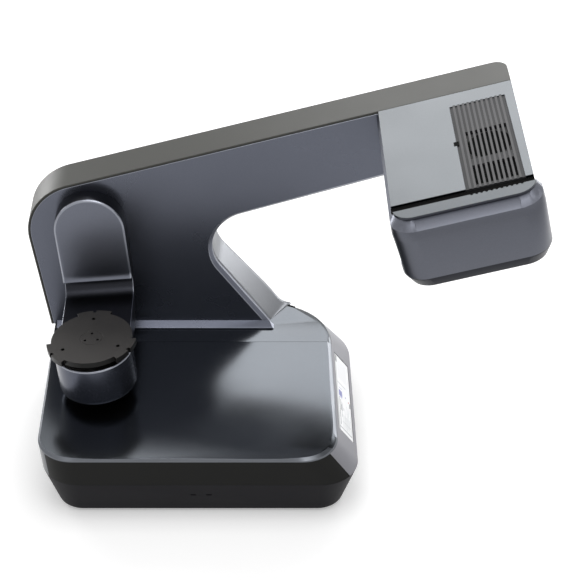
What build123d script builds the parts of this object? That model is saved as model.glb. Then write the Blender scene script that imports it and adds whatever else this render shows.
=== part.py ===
"""Desktop three-dimensional scanner with a tilting turntable and an overhead scan head.

The frame: X to the right, Y to the back, Z up, all in millimetres. Everything is drawn
about the middle of the base, and moved at the end so that the origin lies on the table top
under the middle of the whole object. A low base carries a rear arm that rises to the
right at ARM_TILT, and the scan head juts forward from the arm's right end. Its left side
holds two cameras and a projector, which look down and to the left at the turntable. The
turntable hangs in a bracket that swings about a front-to-back axis on the arm's left part.
"""
import os
from math import atan, cos, degrees, radians, sin, tan

from build123d import *

# Base
FOOT_HEIGHT = 3.0
FOOT_RADIUS = 10.0
FOOT_EDGE = 34.0
BASE_LENGTH = 350.0
BASE_DEPTH = 292.0
BASE_CORNER = 42.0
BACK_CORNER = 62.0
BACK_CORNER_GROWTH = 10.0
ARM_SIDE_CORNER = 14.0
LEAST_CORNER = 2.0
BACK_SETBACK = 4.0
LOWER_HEIGHT = 48.0
LOWER_INSET = 13.0
LOWER_END_INSET = 16.0
LOWER_EDGE = 5.0
UPPER_HEIGHT = 35.0
DECK_INSET = 2.5
LEFT_DRAW = 3.0
SCREEN_RUN = 26.0
CREASE_ANGLE = 40.0
WALL = 3.0
DECK_THICKNESS = 4.0
DECK_BEVEL = 2.6
DECK_RIB_INSET = 3.9
DECK_SEAM_Y = 61.8
SEAM_GAP = 0.4
FRONT_SLOT_LENGTH = 6.0
FRONT_SLOT_HEIGHT = 1.6
FRONT_SLOT_PITCH = 17.0
FRONT_SLOT_X = 11.5
FRONT_SLOT_LEVEL = 0.59

# Sloped operating panel on the right of the base
SCREEN_LENGTH = 136.0
SCREEN_WIDTH = 29.0
SCREEN_Y = -15.0
SCREEN_SHIFT = 2.0
SCREEN_THICKNESS = 4.0
SCREEN_RECESS = 0.5
SCREEN_CORNER = 2.0

# Arm
ARM_TILT = 15.47
ARM_LEAN = 8.0
ARM_OVERHANG = 4.0
ARM_CORNER = 65.0
ARM_FACE_Y = 96.2
ARM_END_EDGE = 16.0
THROAT_RUN = 163.3
THROAT_Z = 220.1
THROAT_RADIUS = 46.5
UNDERSIDE_TILT = 17.63
STRUT_SLOPE = 54.2
FLARE_RADIUS = 140.0
FLARE_MEET = 20.0
COVER_THICKNESS = 9.0
COVER_RIM = 8.0
COVER_BEVEL = 4.4
SPINE_THICKNESS = 3.0
TOE_REACH = 10.0
TOE_HEIGHT = 6.0
TOE_EDGE = 1.8
TOE_END = 4.0
FRAME_THICKNESS = 8.0
FRAME_MARGIN = 12.0
FRAME_FOOT_START = 45.0
FRAME_FOOT_END = 223.0
FRAME_WINDOW = 50.0
FRAME_SLOT = 34.0
ARM_SCREW_DROP = 40.0
ARM_SCREW_PITCH = 200.0
ARM_SCREW_COUNT = 3
ARM_SCREW_MARGIN = 18.0

# Scan head, measured along the arm (s), to the back (y) and square to its top (n)
HEAD_RUN = 373.9
HEAD_TOP_Z = 374.95
HEAD_WIDTH = 145.6
HEAD_FRONT_Y = -137.0
HEAD_HEIGHT = 80.0
HEAD_OVERHANG = 4.0
HEAD_REAR_SETBACK = 2.6
COVER_TAPER = 2.4
HEAD_SIDE_TAPER = 1.2
HEAD_FRONT_TAPER = 3.5
HEAD_CORNER = 26.0
SHOULDER_DROP = 17.0
BROW_DROP = 8.0
BROW_SETBACK = 6.0
LIP_FRONT_Y = -120.0
LIP_CORNER = 20.0
GROOVE_FRONT_Y = -102.8
GROOVE_BACK_Y = -92.6
TOP_THICKNESS = 3.0
HEAD_FOOT_HEIGHT = 13.0
HEAD_FOOT_INSET = 6.0
HEAD_WALL = 3.0

# Vent grille in the head's top
GRILLE_WIDTH = 59.0
GRILLE_MARGIN = 10.6
GRILLE_BACK_Y = 69.5
GRILLE_RECESS = 1.0
GRILLE_THICKNESS = 2.4
RIB_PITCH = 5.0
RIB_WIDTH = 2.4
RIB_HEIGHT = 0.7
RIB_COUNT = 11
RIB_END = 1.6
SLOT_COUNT = 9
SLOT_WIDTH = 2.5
SLOT_START = 12.0
UPPER_SLOT_FRONT_Y = -39.0
UPPER_SLOT_LENGTH = 53.3
LOWER_SLOT_FRONT_Y = -87.0
LOWER_SLOT_LENGTH = 35.6
LATCH_Y = -6.0
LATCH_SIZE = 4.0

# Optics
WINDOW_FRONT_Y = -118.0
WINDOW_BACK_Y = 64.0
WINDOW_TOP = 19.0
WINDOW_HEIGHT = 40.0
WINDOW_CORNER = 9.0
WINDOW_THICKNESS = 2.0
WINDOW_RECESS = 1.0
CAMERA_SPACING = 118.0
CAMERA_TOE_IN = 10.0
CAMERA_BODY = 34.0
CAMERA_LENGTH = 36.0
LENS_RADIUS = 14.0
LENS_LENGTH = 18.0
PROJECTOR_WIDTH = 46.0
PROJECTOR_LENGTH = 50.0
PROJECTOR_HEIGHT = 36.0
PROJECTOR_LENS_RADIUS = 15.0
OPTICS_SETBACK = 12.0
OPTICS_DROP = 39.0
BENCH_THICKNESS = 4.0
BENCH_MARGIN = 12.0
SADDLE_INSET = 3.0
SENSOR_BOARD_LENGTH = 56.0
SENSOR_BOARD_HEIGHT = 40.0
SENSOR_BOARD_SETBACK = 14.0
SENSOR_CHIP = 16.0
SENSOR_PLUG_HEIGHT = 24.0

# Fan under the grille
FAN_SIZE = 50.0
FAN_DEPTH = 12.0
FAN_WALL = 1.5
FAN_TIP_GAP = 0.8
FAN_HUB_RADIUS = 11.0
FAN_BLADES = 7
FAN_BLADE_THICKNESS = 1.2
FAN_BLADE_PITCH = 38.0
FAN_PIN_RADIUS = 2.0
FAN_BACK = 2.0
FAN_Y = -14.0

# Swinging stage, hung from its pivot
PIVOT_RUN = 54.7
PIVOT_Z = 233.5
SWING_REST = 5.0
BRACKET_WIDTH = 79.0
BRACKET_THICKNESS = 20.0
BRACKET_HOLLOW = 3.0
BRACKET_DISH = 1.5
BRACKET_EDGE = 2.0
LEDGE_DROP = 67.5
LEDGE_DEPTH = 7.0
PLATFORM_DROP = 86.5
PLATFORM_THICKNESS = 24.0
COVE_RADIUS = 15.0
SWING_GAP = 0.3
SWING_SHAFT_RADIUS = 12.0
SWING_SHAFT_TAIL = 7.0
SWING_BEARING_RADIUS = 21.0
SWING_BEARING_LENGTH = 9.0
SWING_MOTOR_SIZE = 52.0
SPIGOT_RADIUS = 7.0
SPIGOT_LENGTH = 10.0
RUNNING_FIT = 0.05

# Turntable
TABLE_Y = -28.2
TABLE_DROP = 72.5
TABLE_RADIUS = 45.0
TABLE_LOBE_RADIUS = 50.0
TABLE_LOBE_ANGLE = 46.0
TABLE_THICKNESS = 6.5
TABLE_HOLE_CIRCLE = 35.0
TABLE_HOLE_RADIUS = 2.1
TABLE_NOTCH = 4.0
HUB_HOLE_CIRCLE = 8.0
HUB_HOLE_RADIUS = 1.6
TABLE_SCREW_SINK = 1.5
HOUSING_RADIUS = 43.5
HOUSING_HEIGHT = 49.5
HOUSING_WALL = 3.0
HOUSING_EDGE = 7.0
CAP_DEPTH = 2.0
CAP_THICKNESS = 3.0
SPINDLE_RADIUS = 6.0
SPINDLE_BEARING_RADIUS = 13.0
SPINDLE_BEARING_LENGTH = 7.0
TABLE_MOTOR_RADIUS = 28.0

# Rear connections and switch
PANEL_X = 20.0
PANEL_LENGTH = 100.0
PANEL_HEIGHT = 26.0
PANEL_THICKNESS = 2.0
PANEL_RECESS = 0.8
INLET_LENGTH = 27.0
INLET_HEIGHT = 20.0
INLET_DEPTH = 22.0
INLET_CAVITY = 14.0
INLET_RIM = 2.2
INLET_X = 48.0
PIN_PITCH = 7.0
PIN_RISE = 3.0
PIN_SIZE = 4.0
PIN_LENGTH = 10.0
SWITCH_X = 16.0
SWITCH_LENGTH = 19.0
SWITCH_DEPTH = 14.0
SWITCH_RIM = 3.0
ROCKER_RADIUS = 6.3
ROCKER_PIVOT_DEPTH = 2.6
ROCKER_ANGLE = 9.0
ROCKER_PROUD = 0.6
ROCKER_PIN_RADIUS = 1.2
ROCKER_GAP = 0.3
USB_X = -12.0
USB_LENGTH = 13.0
USB_HEIGHT = 12.0
USB_DEPTH = 16.0
USB_CAVITY = 12.0
USB_TONGUE = 5.0
USB_RIM = 1.2

# Inside the base
CHASSIS_THICKNESS = 6.0
CHASSIS_MARGIN = 12.0
BOARD_THICKNESS = 1.6
BOARD_LENGTH = 150.0
BOARD_WIDTH = 110.0
BOARD_X = -60.0
BOARD_Y = -62.0
BOARD_HOLE_INSET = 5.0
STANDOFF_HEIGHT = 8.0
STANDOFF_RADIUS = 3.0
PROCESSOR_SIZE = 36.0
PROCESSOR_HEIGHT = 2.4
MEMORY_PITCH = 9.0
MEMORY_LENGTH = 24.0
PLUG_PITCH = 30.0
PLUG_HEIGHT = 8.0
SINK_SIZE = 40.0
SINK_HEIGHT = 14.0
SINK_PITCH = 5.2
SINK_GAP = 3.0
SUPPLY_LENGTH = 120.0
SUPPLY_WIDTH = 76.0
SUPPLY_HEIGHT = 34.0
SUPPLY_X = 82.0
SUPPLY_Y = 10.0

# Fasteners
SCREW_HEAD_RADIUS = 3.4
SCREW_HEAD_HEIGHT = 2.0
SCREW_SHANK_RADIUS = 1.9
SCREW_SHANK_LENGTH = 8.0
CHASSIS_SCREW_LENGTH = 6.0
HEX_SOCKET = 1.6
HEX_DEPTH = 1.2
HEAD_CLEARANCE = 0.1
SCREW_BOSS = 5.0

# Derived levels
BASE_Z = FOOT_HEIGHT
SEAM_Z = BASE_Z + LOWER_HEIGHT
DECK_Z = SEAM_Z + UPPER_HEIGHT
DECK_LEFT = -BASE_LENGTH / 2
DECK_RIGHT = BASE_LENGTH / 2 - SCREEN_RUN
DECK_BACK = BASE_DEPTH / 2 - DECK_INSET
ARM_LEFT = DECK_LEFT - ARM_OVERHANG
ARM_BACK_Y = DECK_BACK
THROAT_X = ARM_LEFT + THROAT_RUN
HEAD_X = ARM_LEFT + HEAD_RUN
PIVOT_X = ARM_LEFT + PIVOT_RUN
GRILLE_LEFT = HEAD_WIDTH - GRILLE_MARGIN - GRILLE_WIDTH
SLOT_LEFT = GRILLE_LEFT + SLOT_START
COVER_BACK_Y = ARM_FACE_Y + COVER_THICKNESS
CHASSIS_Z = BASE_Z + WALL
CHASSIS_TOP = CHASSIS_Z + CHASSIS_THICKNESS
SLOPE_ANGLE = degrees(atan(UPPER_HEIGHT / SCREEN_RUN))

HEAD = Plane(
    origin=(HEAD_X, 0, HEAD_TOP_Z),
    x_dir=(cos(radians(ARM_TILT)), 0, sin(radians(ARM_TILT))),
    z_dir=(-sin(radians(ARM_TILT)), 0, cos(radians(ARM_TILT))),
)
STAGE = Pos(PIVOT_X, 0, PIVOT_Z) * Rot(0, -SWING_REST, 0)


def save(name, shape):
    """Write one node, as the solids it holds."""
    solids = shape.solids()
    whole = solids[0] if len(solids) == 1 else Compound(children=list(solids))
    export_step(whole, f"parts/{name}.step")


def block(x0, x1, y0, y1, z0, z1):
    """A box between two corners."""
    middle = Pos((x0 + x1) / 2, (y0 + y1) / 2, (z0 + z1) / 2)
    return middle * Box(x1 - x0, y1 - y0, z1 - z0)


def plan(x0, x1, y0, y1, radius):
    """A rectangle with round corners, seen from above."""
    return Pos((x0 + x1) / 2, (y0 + y1) / 2) * RectangleRounded(x1 - x0, y1 - y0, radius)


def slab(face, y0, y1):
    """A front-view outline given thickness from y0 back to y1."""
    return extrude(Plane.XZ.offset(-y0) * face, amount=-(y1 - y0))


def rod(radius, y0, y1, x=0.0, z=0.0):
    """A round bar that runs from front to back."""
    return slab(Pos(x, z) * Circle(radius), y0, y1)


def meet(p, p_angle, q, q_angle):
    """Where the line through p at p_angle crosses the line through q at q_angle."""
    ux, uz = cos(radians(p_angle)), sin(radians(p_angle))
    vx, vz = cos(radians(q_angle)), sin(radians(q_angle))
    along = ((q[0] - p[0]) * vz - (q[1] - p[1]) * vx) / (ux * vz - uz * vx)
    return (p[0] + along * ux, p[1] + along * uz)


def along(p, angle, length):
    """The point at a length from p in the front view."""
    return (p[0] + length * cos(radians(angle)), p[1] + length * sin(radians(angle)))


def screw(length=SCREW_SHANK_LENGTH):
    """A socket screw that points down, its head's top at the origin."""
    head = Pos(0, 0, -SCREW_HEAD_HEIGHT / 2) * Cylinder(SCREW_HEAD_RADIUS, SCREW_HEAD_HEIGHT)
    shank = Pos(0, 0, -SCREW_HEAD_HEIGHT - length / 2) * Cylinder(SCREW_SHANK_RADIUS, length)
    socket = extrude(Pos(0, 0, -HEX_DEPTH) * RegularPolygon(HEX_SOCKET, 6), amount=2 * HEX_DEPTH)
    return head + shank - socket


def screw_hole(length=SCREW_SHANK_LENGTH):
    """The counterbored hole that takes a screw, its head flush."""
    head = Pos(0, 0, -SCREW_HEAD_HEIGHT / 2) * Cylinder(SCREW_HEAD_RADIUS + HEAD_CLEARANCE, SCREW_HEAD_HEIGHT)
    shank = Pos(0, 0, -SCREW_HEAD_HEIGHT - length / 2) * Cylinder(SCREW_SHANK_RADIUS, length)
    return head + shank


# Base


def lean(z, low, high):
    """How far a side stands in from the seam's outline at a level, below and above the seam."""
    if z <= SEAM_Z:
        return low * (SEAM_Z - z) / LOWER_HEIGHT
    return high * (z - SEAM_Z) / UPPER_HEIGHT


def base_sides(z, inset=0.0):
    """The base's left, right, front and back at a level."""
    side = lean(z, LOWER_INSET, DECK_INSET) + inset
    left = DECK_LEFT + LEFT_DRAW + lean(z, LOWER_END_INSET, -LEFT_DRAW) + inset
    right = BASE_LENGTH / 2 - lean(z, LOWER_END_INSET, SCREEN_RUN) - inset
    return left, right, -BASE_DEPTH / 2 + side, BASE_DEPTH / 2 - BACK_SETBACK - side


def corner_radii(z, inset=0.0):
    """The radius of three corners at a level, and the wider one of the right back corner."""
    side = lean(z, LOWER_INSET, DECK_INSET) + inset
    wide = BACK_CORNER - lean(z, LOWER_INSET, -BACK_CORNER_GROWTH) - inset
    return BASE_CORNER - side, wide


def base_plan(z, inset=0.0):
    """The base's outline at a level: a wide corner at its right back, a tight one under the arm."""
    x0, x1, y0, y1 = base_sides(z, inset)
    radius, wide_radius = corner_radii(z, inset)
    tight_radius = max(ARM_SIDE_CORNER - inset, LEAST_CORNER)
    outline = Pos((x0 + x1) / 2, (y0 + y1) / 2) * Rectangle(x1 - x0, y1 - y0)
    for corner, size in (((x0, y0), radius), ((x1, y0), radius), ((x1, y1), wide_radius), ((x0, y1), tight_radius)):
        outline = fillet(outline.vertices().sort_by_distance((*corner, 0))[0], size)
    return Pos(0, 0, z) * outline


def base_body(z0, z1, inset=0.0):
    """The solid of the base between two levels on one side of the seam."""
    return loft([base_plan(z0, inset), base_plan(z1, inset)], ruled=True)


def crease_lines(z):
    """The parting lines at a level, outwards from the centres of three corners."""
    x0, x1, y0, y1 = base_sides(z)
    near, far = corner_radii(z)
    centres = [(x0 + near, y0 + near), (x1 - near, y0 + near), (x1 - far, y1 - far)]
    turns = [180 + CREASE_ANGLE, -CREASE_ANGLE, CREASE_ANGLE]
    return [(centre, along(centre, turn, BASE_DEPTH / 2)) for centre, turn in zip(centres, turns)]


def wall_zone(first, second):
    """The space between two parting lines, from the seam up to the deck."""
    outlines = []
    for z in (SEAM_Z, DECK_Z):
        lines = crease_lines(z)
        outline = [lines[first][0], lines[first][1], lines[second][1], lines[second][0]]
        outlines.append(Pos(0, 0, z) * make_face(Polyline(outline, close=True)))
    return loft(outlines, ruled=True)


def foot_places():
    """The centres of the feet, in from the corners of the underside."""
    x0, x1, y0, y1 = base_sides(BASE_Z, FOOT_EDGE)
    return [(x, y) for x in (x0, x1) for y in (y0, y1)]


def base_screw_places():
    """The screws beside the feet that hold the lower shell to the chassis plate."""
    return [(x * 0.72, y) for x, y in foot_places()]


def rubber_feet():
    """Four low feet with a bevelled lower edge."""
    foot = Pos(0, 0, FOOT_HEIGHT / 2) * Cylinder(FOOT_RADIUS, FOOT_HEIGHT)
    foot = chamfer(foot.edges().group_by(Axis.Z)[0], FOOT_HEIGHT / 3)
    return Compound(children=[Pos(x, y, 0) * foot for x, y in foot_places()])


def lower_shell():
    """The tray under the seam, its walls drawn in towards the floor."""
    outer = base_body(BASE_Z, SEAM_Z)
    outer = fillet(outer.edges().group_by(Axis.Z)[0], LOWER_EDGE)
    shell = outer - base_body(CHASSIS_Z, SEAM_Z, WALL)
    for index in (0, 1):
        slot_x = FRONT_SLOT_X - FRONT_SLOT_PITCH * index
        slot = block(
            slot_x - FRONT_SLOT_LENGTH / 2,
            slot_x + FRONT_SLOT_LENGTH / 2,
            -BASE_DEPTH / 2,
            -BASE_DEPTH / 2 + LOWER_INSET + WALL,
            BASE_Z + LOWER_HEIGHT * FRONT_SLOT_LEVEL,
            BASE_Z + LOWER_HEIGHT * FRONT_SLOT_LEVEL + FRONT_SLOT_HEIGHT,
        )
        shell -= slot
    for x, y in base_screw_places():
        shell -= Pos(x, y, BASE_Z) * Rot(180, 0, 0) * screw_hole()
    return shell


def chassis_plate():
    """The steel plate on the tray's floor: it carries the arm and weighs the base down."""
    outline = Pos(0, 0, CHASSIS_Z - BASE_Z) * base_plan(BASE_Z, WALL + CHASSIS_MARGIN)
    plate = extrude(outline, amount=CHASSIS_THICKNESS)
    for x, y in base_screw_places():
        plate -= Pos(x, y, BASE_Z) * Rot(180, 0, 0) * screw_hole()
    return plate


def upper_body(inset=0.0):
    """The base above the seam, up to the underside of the deck."""
    return base_body(SEAM_Z, DECK_Z - DECK_THICKNESS, inset)


def wall_ring():
    """The whole wall between the seam and the deck."""
    return upper_body() - upper_body(WALL)


def panel_opening():
    """The opening in the back wall for the connector panel."""
    z = (SEAM_Z + DECK_Z - DECK_THICKNESS) / 2
    return block(
        PANEL_X - PANEL_LENGTH / 2,
        PANEL_X + PANEL_LENGTH / 2,
        DECK_BACK - BACK_SETBACK - 2 * WALL,
        BASE_DEPTH / 2 + WALL,
        z - PANEL_HEIGHT / 2,
        z + PANEL_HEIGHT / 2,
    )


def slope(shape):
    """Place a shape drawn on the sloped side: x runs back, y up the slope, z outwards."""
    angle = radians(SLOPE_ANGLE)
    middle = ((DECK_RIGHT + BASE_LENGTH / 2) / 2, SCREEN_Y, (SEAM_Z + DECK_Z) / 2)
    return Plane(origin=middle, x_dir=(0, 1, 0), z_dir=(sin(angle), 0, cos(angle))) * shape


def screen_opening(margin, depth):
    """The pocket for the display, measured from the sloped face inwards."""
    outline = RectangleRounded(SCREEN_LENGTH + 2 * margin, SCREEN_WIDTH + 2 * margin, SCREEN_CORNER + margin)
    return slope(extrude(Pos(0, -SCREEN_SHIFT, -depth) * outline, amount=2 * depth))


def upper_shell():
    """The painted wall on the left and the back of the base."""
    return wall_ring() - wall_zone(0, 1) - wall_zone(1, 2) - panel_opening()


def front_band():
    """The dark wall at the front, up to the parting lines on the corners."""
    return wall_ring() & wall_zone(0, 1)


def screen_bezel():
    """The panel on the sloped side and its corners, with the opening for the display."""
    return (wall_ring() & wall_zone(1, 2)) - screen_opening(0.0, SCREEN_THICKNESS + WALL)


def touch_screen():
    """The display, just below the bezel's face."""
    outline = RectangleRounded(SCREEN_LENGTH, SCREEN_WIDTH, SCREEN_CORNER)
    low = -SCREEN_RECESS - SCREEN_THICKNESS
    return slope(extrude(Pos(0, -SCREEN_SHIFT, low) * outline, amount=SCREEN_THICKNESS))


def deck_layer():
    """The whole top layer of the base, with its outer edge bevelled."""
    layer = base_body(DECK_Z - DECK_THICKNESS, DECK_Z)
    return chamfer(layer.edges().group_by(Axis.Z)[-1], DECK_BEVEL)


def deck_plate():
    """The front part of the deck, with a rib that drops inside the wall."""
    keep = block(-BASE_LENGTH, BASE_LENGTH, -BASE_DEPTH, DECK_SEAM_Y - SEAM_GAP / 2, 0, DECK_Z)
    rib_z = DECK_Z - DECK_THICKNESS
    ring = base_body(rib_z - WALL, rib_z, DECK_RIB_INSET)
    ring -= base_body(rib_z - WALL, rib_z, DECK_RIB_INSET + WALL)
    ring &= block(-BASE_LENGTH, BASE_LENGTH, -BASE_DEPTH, DECK_SEAM_Y - WALL, 0, DECK_Z)
    return (deck_layer() & keep) + (ring - screen_opening(1.0, SCREEN_THICKNESS + 2 * WALL))


# Arm


def top_line(inset):
    """A point on the arm's top edge, lowered square to it by the inset."""
    return (HEAD_X + inset * sin(radians(ARM_TILT)), HEAD_TOP_Z - inset * cos(radians(ARM_TILT)))


def arm_face(inset=0.0, foot_z=DECK_Z):
    """The arm from the front. The inset draws in its top and left edges only."""
    left = (ARM_LEFT + inset, DECK_Z)
    foot_left = meet(left, 90 + ARM_LEAN, (0, foot_z), 0)
    top_left = meet(left, 90 + ARM_LEAN, top_line(inset), ARM_TILT)
    end = along((HEAD_X, HEAD_TOP_Z), ARM_TILT, HEAD_WIDTH)
    top_right = meet(end, 90 + ARM_TILT, top_line(inset), ARM_TILT)
    throat = (THROAT_X, THROAT_Z)
    low_right = meet(end, 90 + ARM_TILT, throat, UNDERSIDE_TILT)
    foot_right = meet(throat, -STRUT_SLOPE, (0, foot_z), 0)
    face = make_face(Polyline([foot_left, top_left, top_right, low_right, throat, foot_right], close=True))
    face = fillet(face.vertices().sort_by_distance((*top_left, 0))[0], ARM_CORNER - inset)
    face = fillet(face.vertices().sort_by_distance((*throat, 0))[0], THROAT_RADIUS)
    return face


def flare():
    """The concave foot of the rear shell, where the strut runs out into the deck's corner."""
    foot = meet((THROAT_X, THROAT_Z), -STRUT_SLOPE, (0, DECK_Z), 0)
    rise = FLARE_RADIUS * (cos(radians(FLARE_MEET)) - cos(radians(STRUT_SLOPE)))
    upper = along(foot, 180 - STRUT_SLOPE, rise / sin(radians(STRUT_SLOPE)))
    centre = along(upper, 90 - STRUT_SLOPE, FLARE_RADIUS)
    middle = along(centre, -90 - (STRUT_SLOPE + FLARE_MEET) / 2, FLARE_RADIUS)
    lower = along(centre, -90 - FLARE_MEET, FLARE_RADIUS)
    arc = ThreePointArc(lower, middle, upper)
    wedge = slab(make_face([Line(upper, foot), Line(foot, lower), arc]), COVER_BACK_Y, ARM_BACK_Y)
    return wedge & extrude(base_plan(DECK_Z), amount=2 * rise)


def end_cutter():
    """What is cut from the arm's right end to round its back corner."""
    s = HEAD_WIDTH - ARM_END_EDGE
    y = ARM_BACK_Y - ARM_END_EDGE
    reach = HEAD_HEIGHT * 2
    corner = block(s, s + 2 * ARM_END_EDGE, y, y + 2 * ARM_END_EDGE, -reach, reach)
    return HEAD * (corner - Pos(s, y, 0) * Cylinder(ARM_END_EDGE, 2 * reach))


def arm_screw_places():
    """Screws in the back of the arm: a row along its upper part and one in each leg."""
    low = along((HEAD_X, HEAD_TOP_Z), ARM_TILT - 90, ARM_SCREW_DROP)
    first = HEAD_WIDTH - 2 * ARM_SCREW_MARGIN
    row = [along(low, 180 + ARM_TILT, ARM_SCREW_PITCH * index - first) for index in range(ARM_SCREW_COUNT)]
    leg_z = DECK_Z + ARM_SCREW_DROP
    return row + [(ARM_LEFT + ARM_SCREW_MARGIN, leg_z), (THROAT_X + ARM_SCREW_DROP, leg_z)]


def front_cover():
    """The arm's front face: a shallow tray, bevelled along the throat."""
    face = arm_face(SPINE_THICKNESS)
    cover = slab(face, ARM_FACE_Y, COVER_BACK_Y)
    edge_y = cover.edges().filter_by_position(Axis.Y, ARM_FACE_Y - 0.01, ARM_FACE_Y + 0.01)
    foot = meet((THROAT_X, THROAT_Z), -STRUT_SLOPE, (0, DECK_Z), 0)
    end = along((HEAD_X, HEAD_TOP_Z), ARM_TILT, HEAD_WIDTH)
    low_right = meet(end, 90 + ARM_TILT, (THROAT_X, THROAT_Z), UNDERSIDE_TILT)
    middles = [((x + THROAT_X) / 2, ARM_FACE_Y, (z + THROAT_Z) / 2) for x, z in (foot, low_right)]
    strut, under = [edge_y.sort_by_distance(middle)[0] for middle in middles]
    curve = edge_y.filter_by(GeomType.CIRCLE).sort_by(Axis.X)[-1]
    cover = chamfer([strut, curve, under], COVER_BEVEL)
    inside = offset(face, amount=-COVER_RIM)
    cover -= slab(inside, ARM_FACE_Y + WALL, COVER_BACK_Y)
    cover -= rod(SWING_SHAFT_RADIUS + 2, ARM_FACE_Y - 1, COVER_BACK_Y, PIVOT_X, PIVOT_Z)
    boss = rod(SWING_BEARING_RADIUS + WALL, ARM_FACE_Y + WALL, COVER_BACK_Y, PIVOT_X, PIVOT_Z)
    boss -= rod(SWING_BEARING_RADIUS, ARM_FACE_Y + WALL, COVER_BACK_Y, PIVOT_X, PIVOT_Z)
    return cover + boss


def toe_strip():
    """The flared strip along the foot of the front cover, sloped off at its right end."""
    y, z = ARM_FACE_Y, DECK_Z
    foot_x = meet((THROAT_X, THROAT_Z), -STRUT_SLOPE, (0, DECK_Z), 0)[0]
    rise = [(y, z), (y - TOE_REACH, z), (y - TOE_REACH, z + TOE_EDGE), (y, z + TOE_HEIGHT)]
    profile = Plane.YZ.offset(DECK_LEFT + SPINE_THICKNESS) * make_face(Polyline(rise, close=True))
    strip = extrude(profile, amount=foot_x + TOE_END - DECK_LEFT - SPINE_THICKNESS)
    high = z + 2 * TOE_HEIGHT
    end = [(foot_x + TOE_END, z), (foot_x - 2 * TOE_END, high), (foot_x + 2 * TOE_END, high)]
    return strip - slab(make_face(Polyline(end, close=True)), y - 2 * TOE_REACH, y)


def back_lip():
    """The sloped underside of the arm's back, which stands out behind the base."""
    y, low = ARM_BACK_Y - BACK_SETBACK, DECK_Z - DECK_THICKNESS
    rise = [(y - WALL, DECK_Z), (y - WALL, low), (y, low), (ARM_BACK_Y, DECK_Z)]
    bar = extrude(Plane.YZ.offset(ARM_LEFT) * make_face(Polyline(rise, close=True)), amount=BASE_LENGTH)
    return bar & slab(arm_face(SPINE_THICKNESS, low), y - WALL, ARM_BACK_Y)


def rear_hollow():
    """The space inside the rear shell, open down to the base in front of the back lip."""
    inside = offset(arm_face(SPINE_THICKNESS, DECK_Z - 2 * DECK_THICKNESS - WALL), amount=-WALL)
    end_s = HEAD_WIDTH - ARM_END_EDGE
    end_wall = HEAD * block(end_s, HEAD_WIDTH, COVER_BACK_Y, ARM_BACK_Y, -2 * HEAD_HEIGHT, 0)
    sill = block(-BASE_LENGTH, BASE_LENGTH, ARM_BACK_Y - BACK_SETBACK - WALL, ARM_BACK_Y, 0, DECK_Z)
    return slab(inside, COVER_BACK_Y, ARM_BACK_Y - WALL) - end_wall - sill


def rear_housing():
    """The arm's rear shell in one piece with the back strip of the deck."""
    shell = slab(arm_face(SPINE_THICKNESS), COVER_BACK_Y, ARM_BACK_Y)
    shell += flare()
    shell -= end_cutter()
    strip = deck_layer() & block(-BASE_LENGTH, BASE_LENGTH, DECK_SEAM_Y + SEAM_GAP / 2, BASE_DEPTH, 0, DECK_Z)
    shell += strip + back_lip()
    shell -= rear_hollow()
    for x, z in arm_screw_places():
        shell += rod(SCREW_BOSS, ARM_BACK_Y - WALL - SCREW_BOSS, ARM_BACK_Y, x, z)
        shell -= Pos(x, ARM_BACK_Y, z) * Rot(-90, 0, 0) * screw_hole()
    return shell


def spine_cover():
    """The band over the arm's top and left edges."""
    face = arm_face() - arm_face(SPINE_THICKNESS)
    band = slab(face, ARM_FACE_Y, ARM_BACK_Y).solids().sort_by(SortBy.VOLUME)[-1]
    return band - end_cutter()


def arm_frame():
    """The cast frame inside the arm, which stands on the chassis plate."""
    y0 = COVER_BACK_Y
    y1 = y0 + FRAME_THICKNESS
    plate = slab(offset(arm_face(SPINE_THICKNESS), amount=-FRAME_MARGIN), y0, y1)
    x0, x1 = ARM_LEFT + FRAME_FOOT_START, ARM_LEFT + FRAME_FOOT_END
    plate += block(x0, x1, y0, y1, CHASSIS_TOP, DECK_Z + 2 * FRAME_MARGIN)
    plate += block(x0, x1, y0 - FRAME_MARGIN, y1 + FRAME_MARGIN, CHASSIS_TOP, CHASSIS_TOP + FRAME_THICKNESS)
    plate -= rod(SWING_BEARING_RADIUS, y0, y1, PIVOT_X, PIVOT_Z)
    window = Pos((PIVOT_X + THROAT_X + FRAME_WINDOW) / 2, DECK_Z + 1.3 * FRAME_WINDOW)
    plate -= slab(window * RectangleRounded(FRAME_WINDOW, FRAME_WINDOW, FRAME_MARGIN), y0, y1)
    low = along((HEAD_X, HEAD_TOP_Z), ARM_TILT - 90, ARM_SCREW_DROP)
    for index in (1, 2):
        x, z = along(low, 180 + ARM_TILT, 2 * FRAME_WINDOW * index - FRAME_WINDOW)
        hole = Pos(x, z) * Rot(0, 0, ARM_TILT) * RectangleRounded(FRAME_WINDOW, FRAME_SLOT, FRAME_MARGIN)
        plate -= slab(hole, y0, y1)
    for x, z in arm_screw_places():
        reach = ARM_BACK_Y - WALL - SCREW_BOSS
        plate += rod(SCREW_BOSS, y1, reach, x, z)
        plate -= rod(SCREW_SHANK_RADIUS, reach - SCREW_SHANK_LENGTH, reach, x, z)
    end_s = HEAD_WIDTH - ARM_END_EDGE - 1
    return plate - HEAD * block(end_s, 2 * HEAD_WIDTH, y0, y1, -2 * HEAD_HEIGHT, HEAD_HEIGHT)


def arm_screws():
    """The screws in the back of the arm."""
    return Compound(
        children=[Pos(x, ARM_BACK_Y, z) * Rot(-90, 0, 0) * screw() for x, z in arm_screw_places()]
    )


# Swing drive


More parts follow.
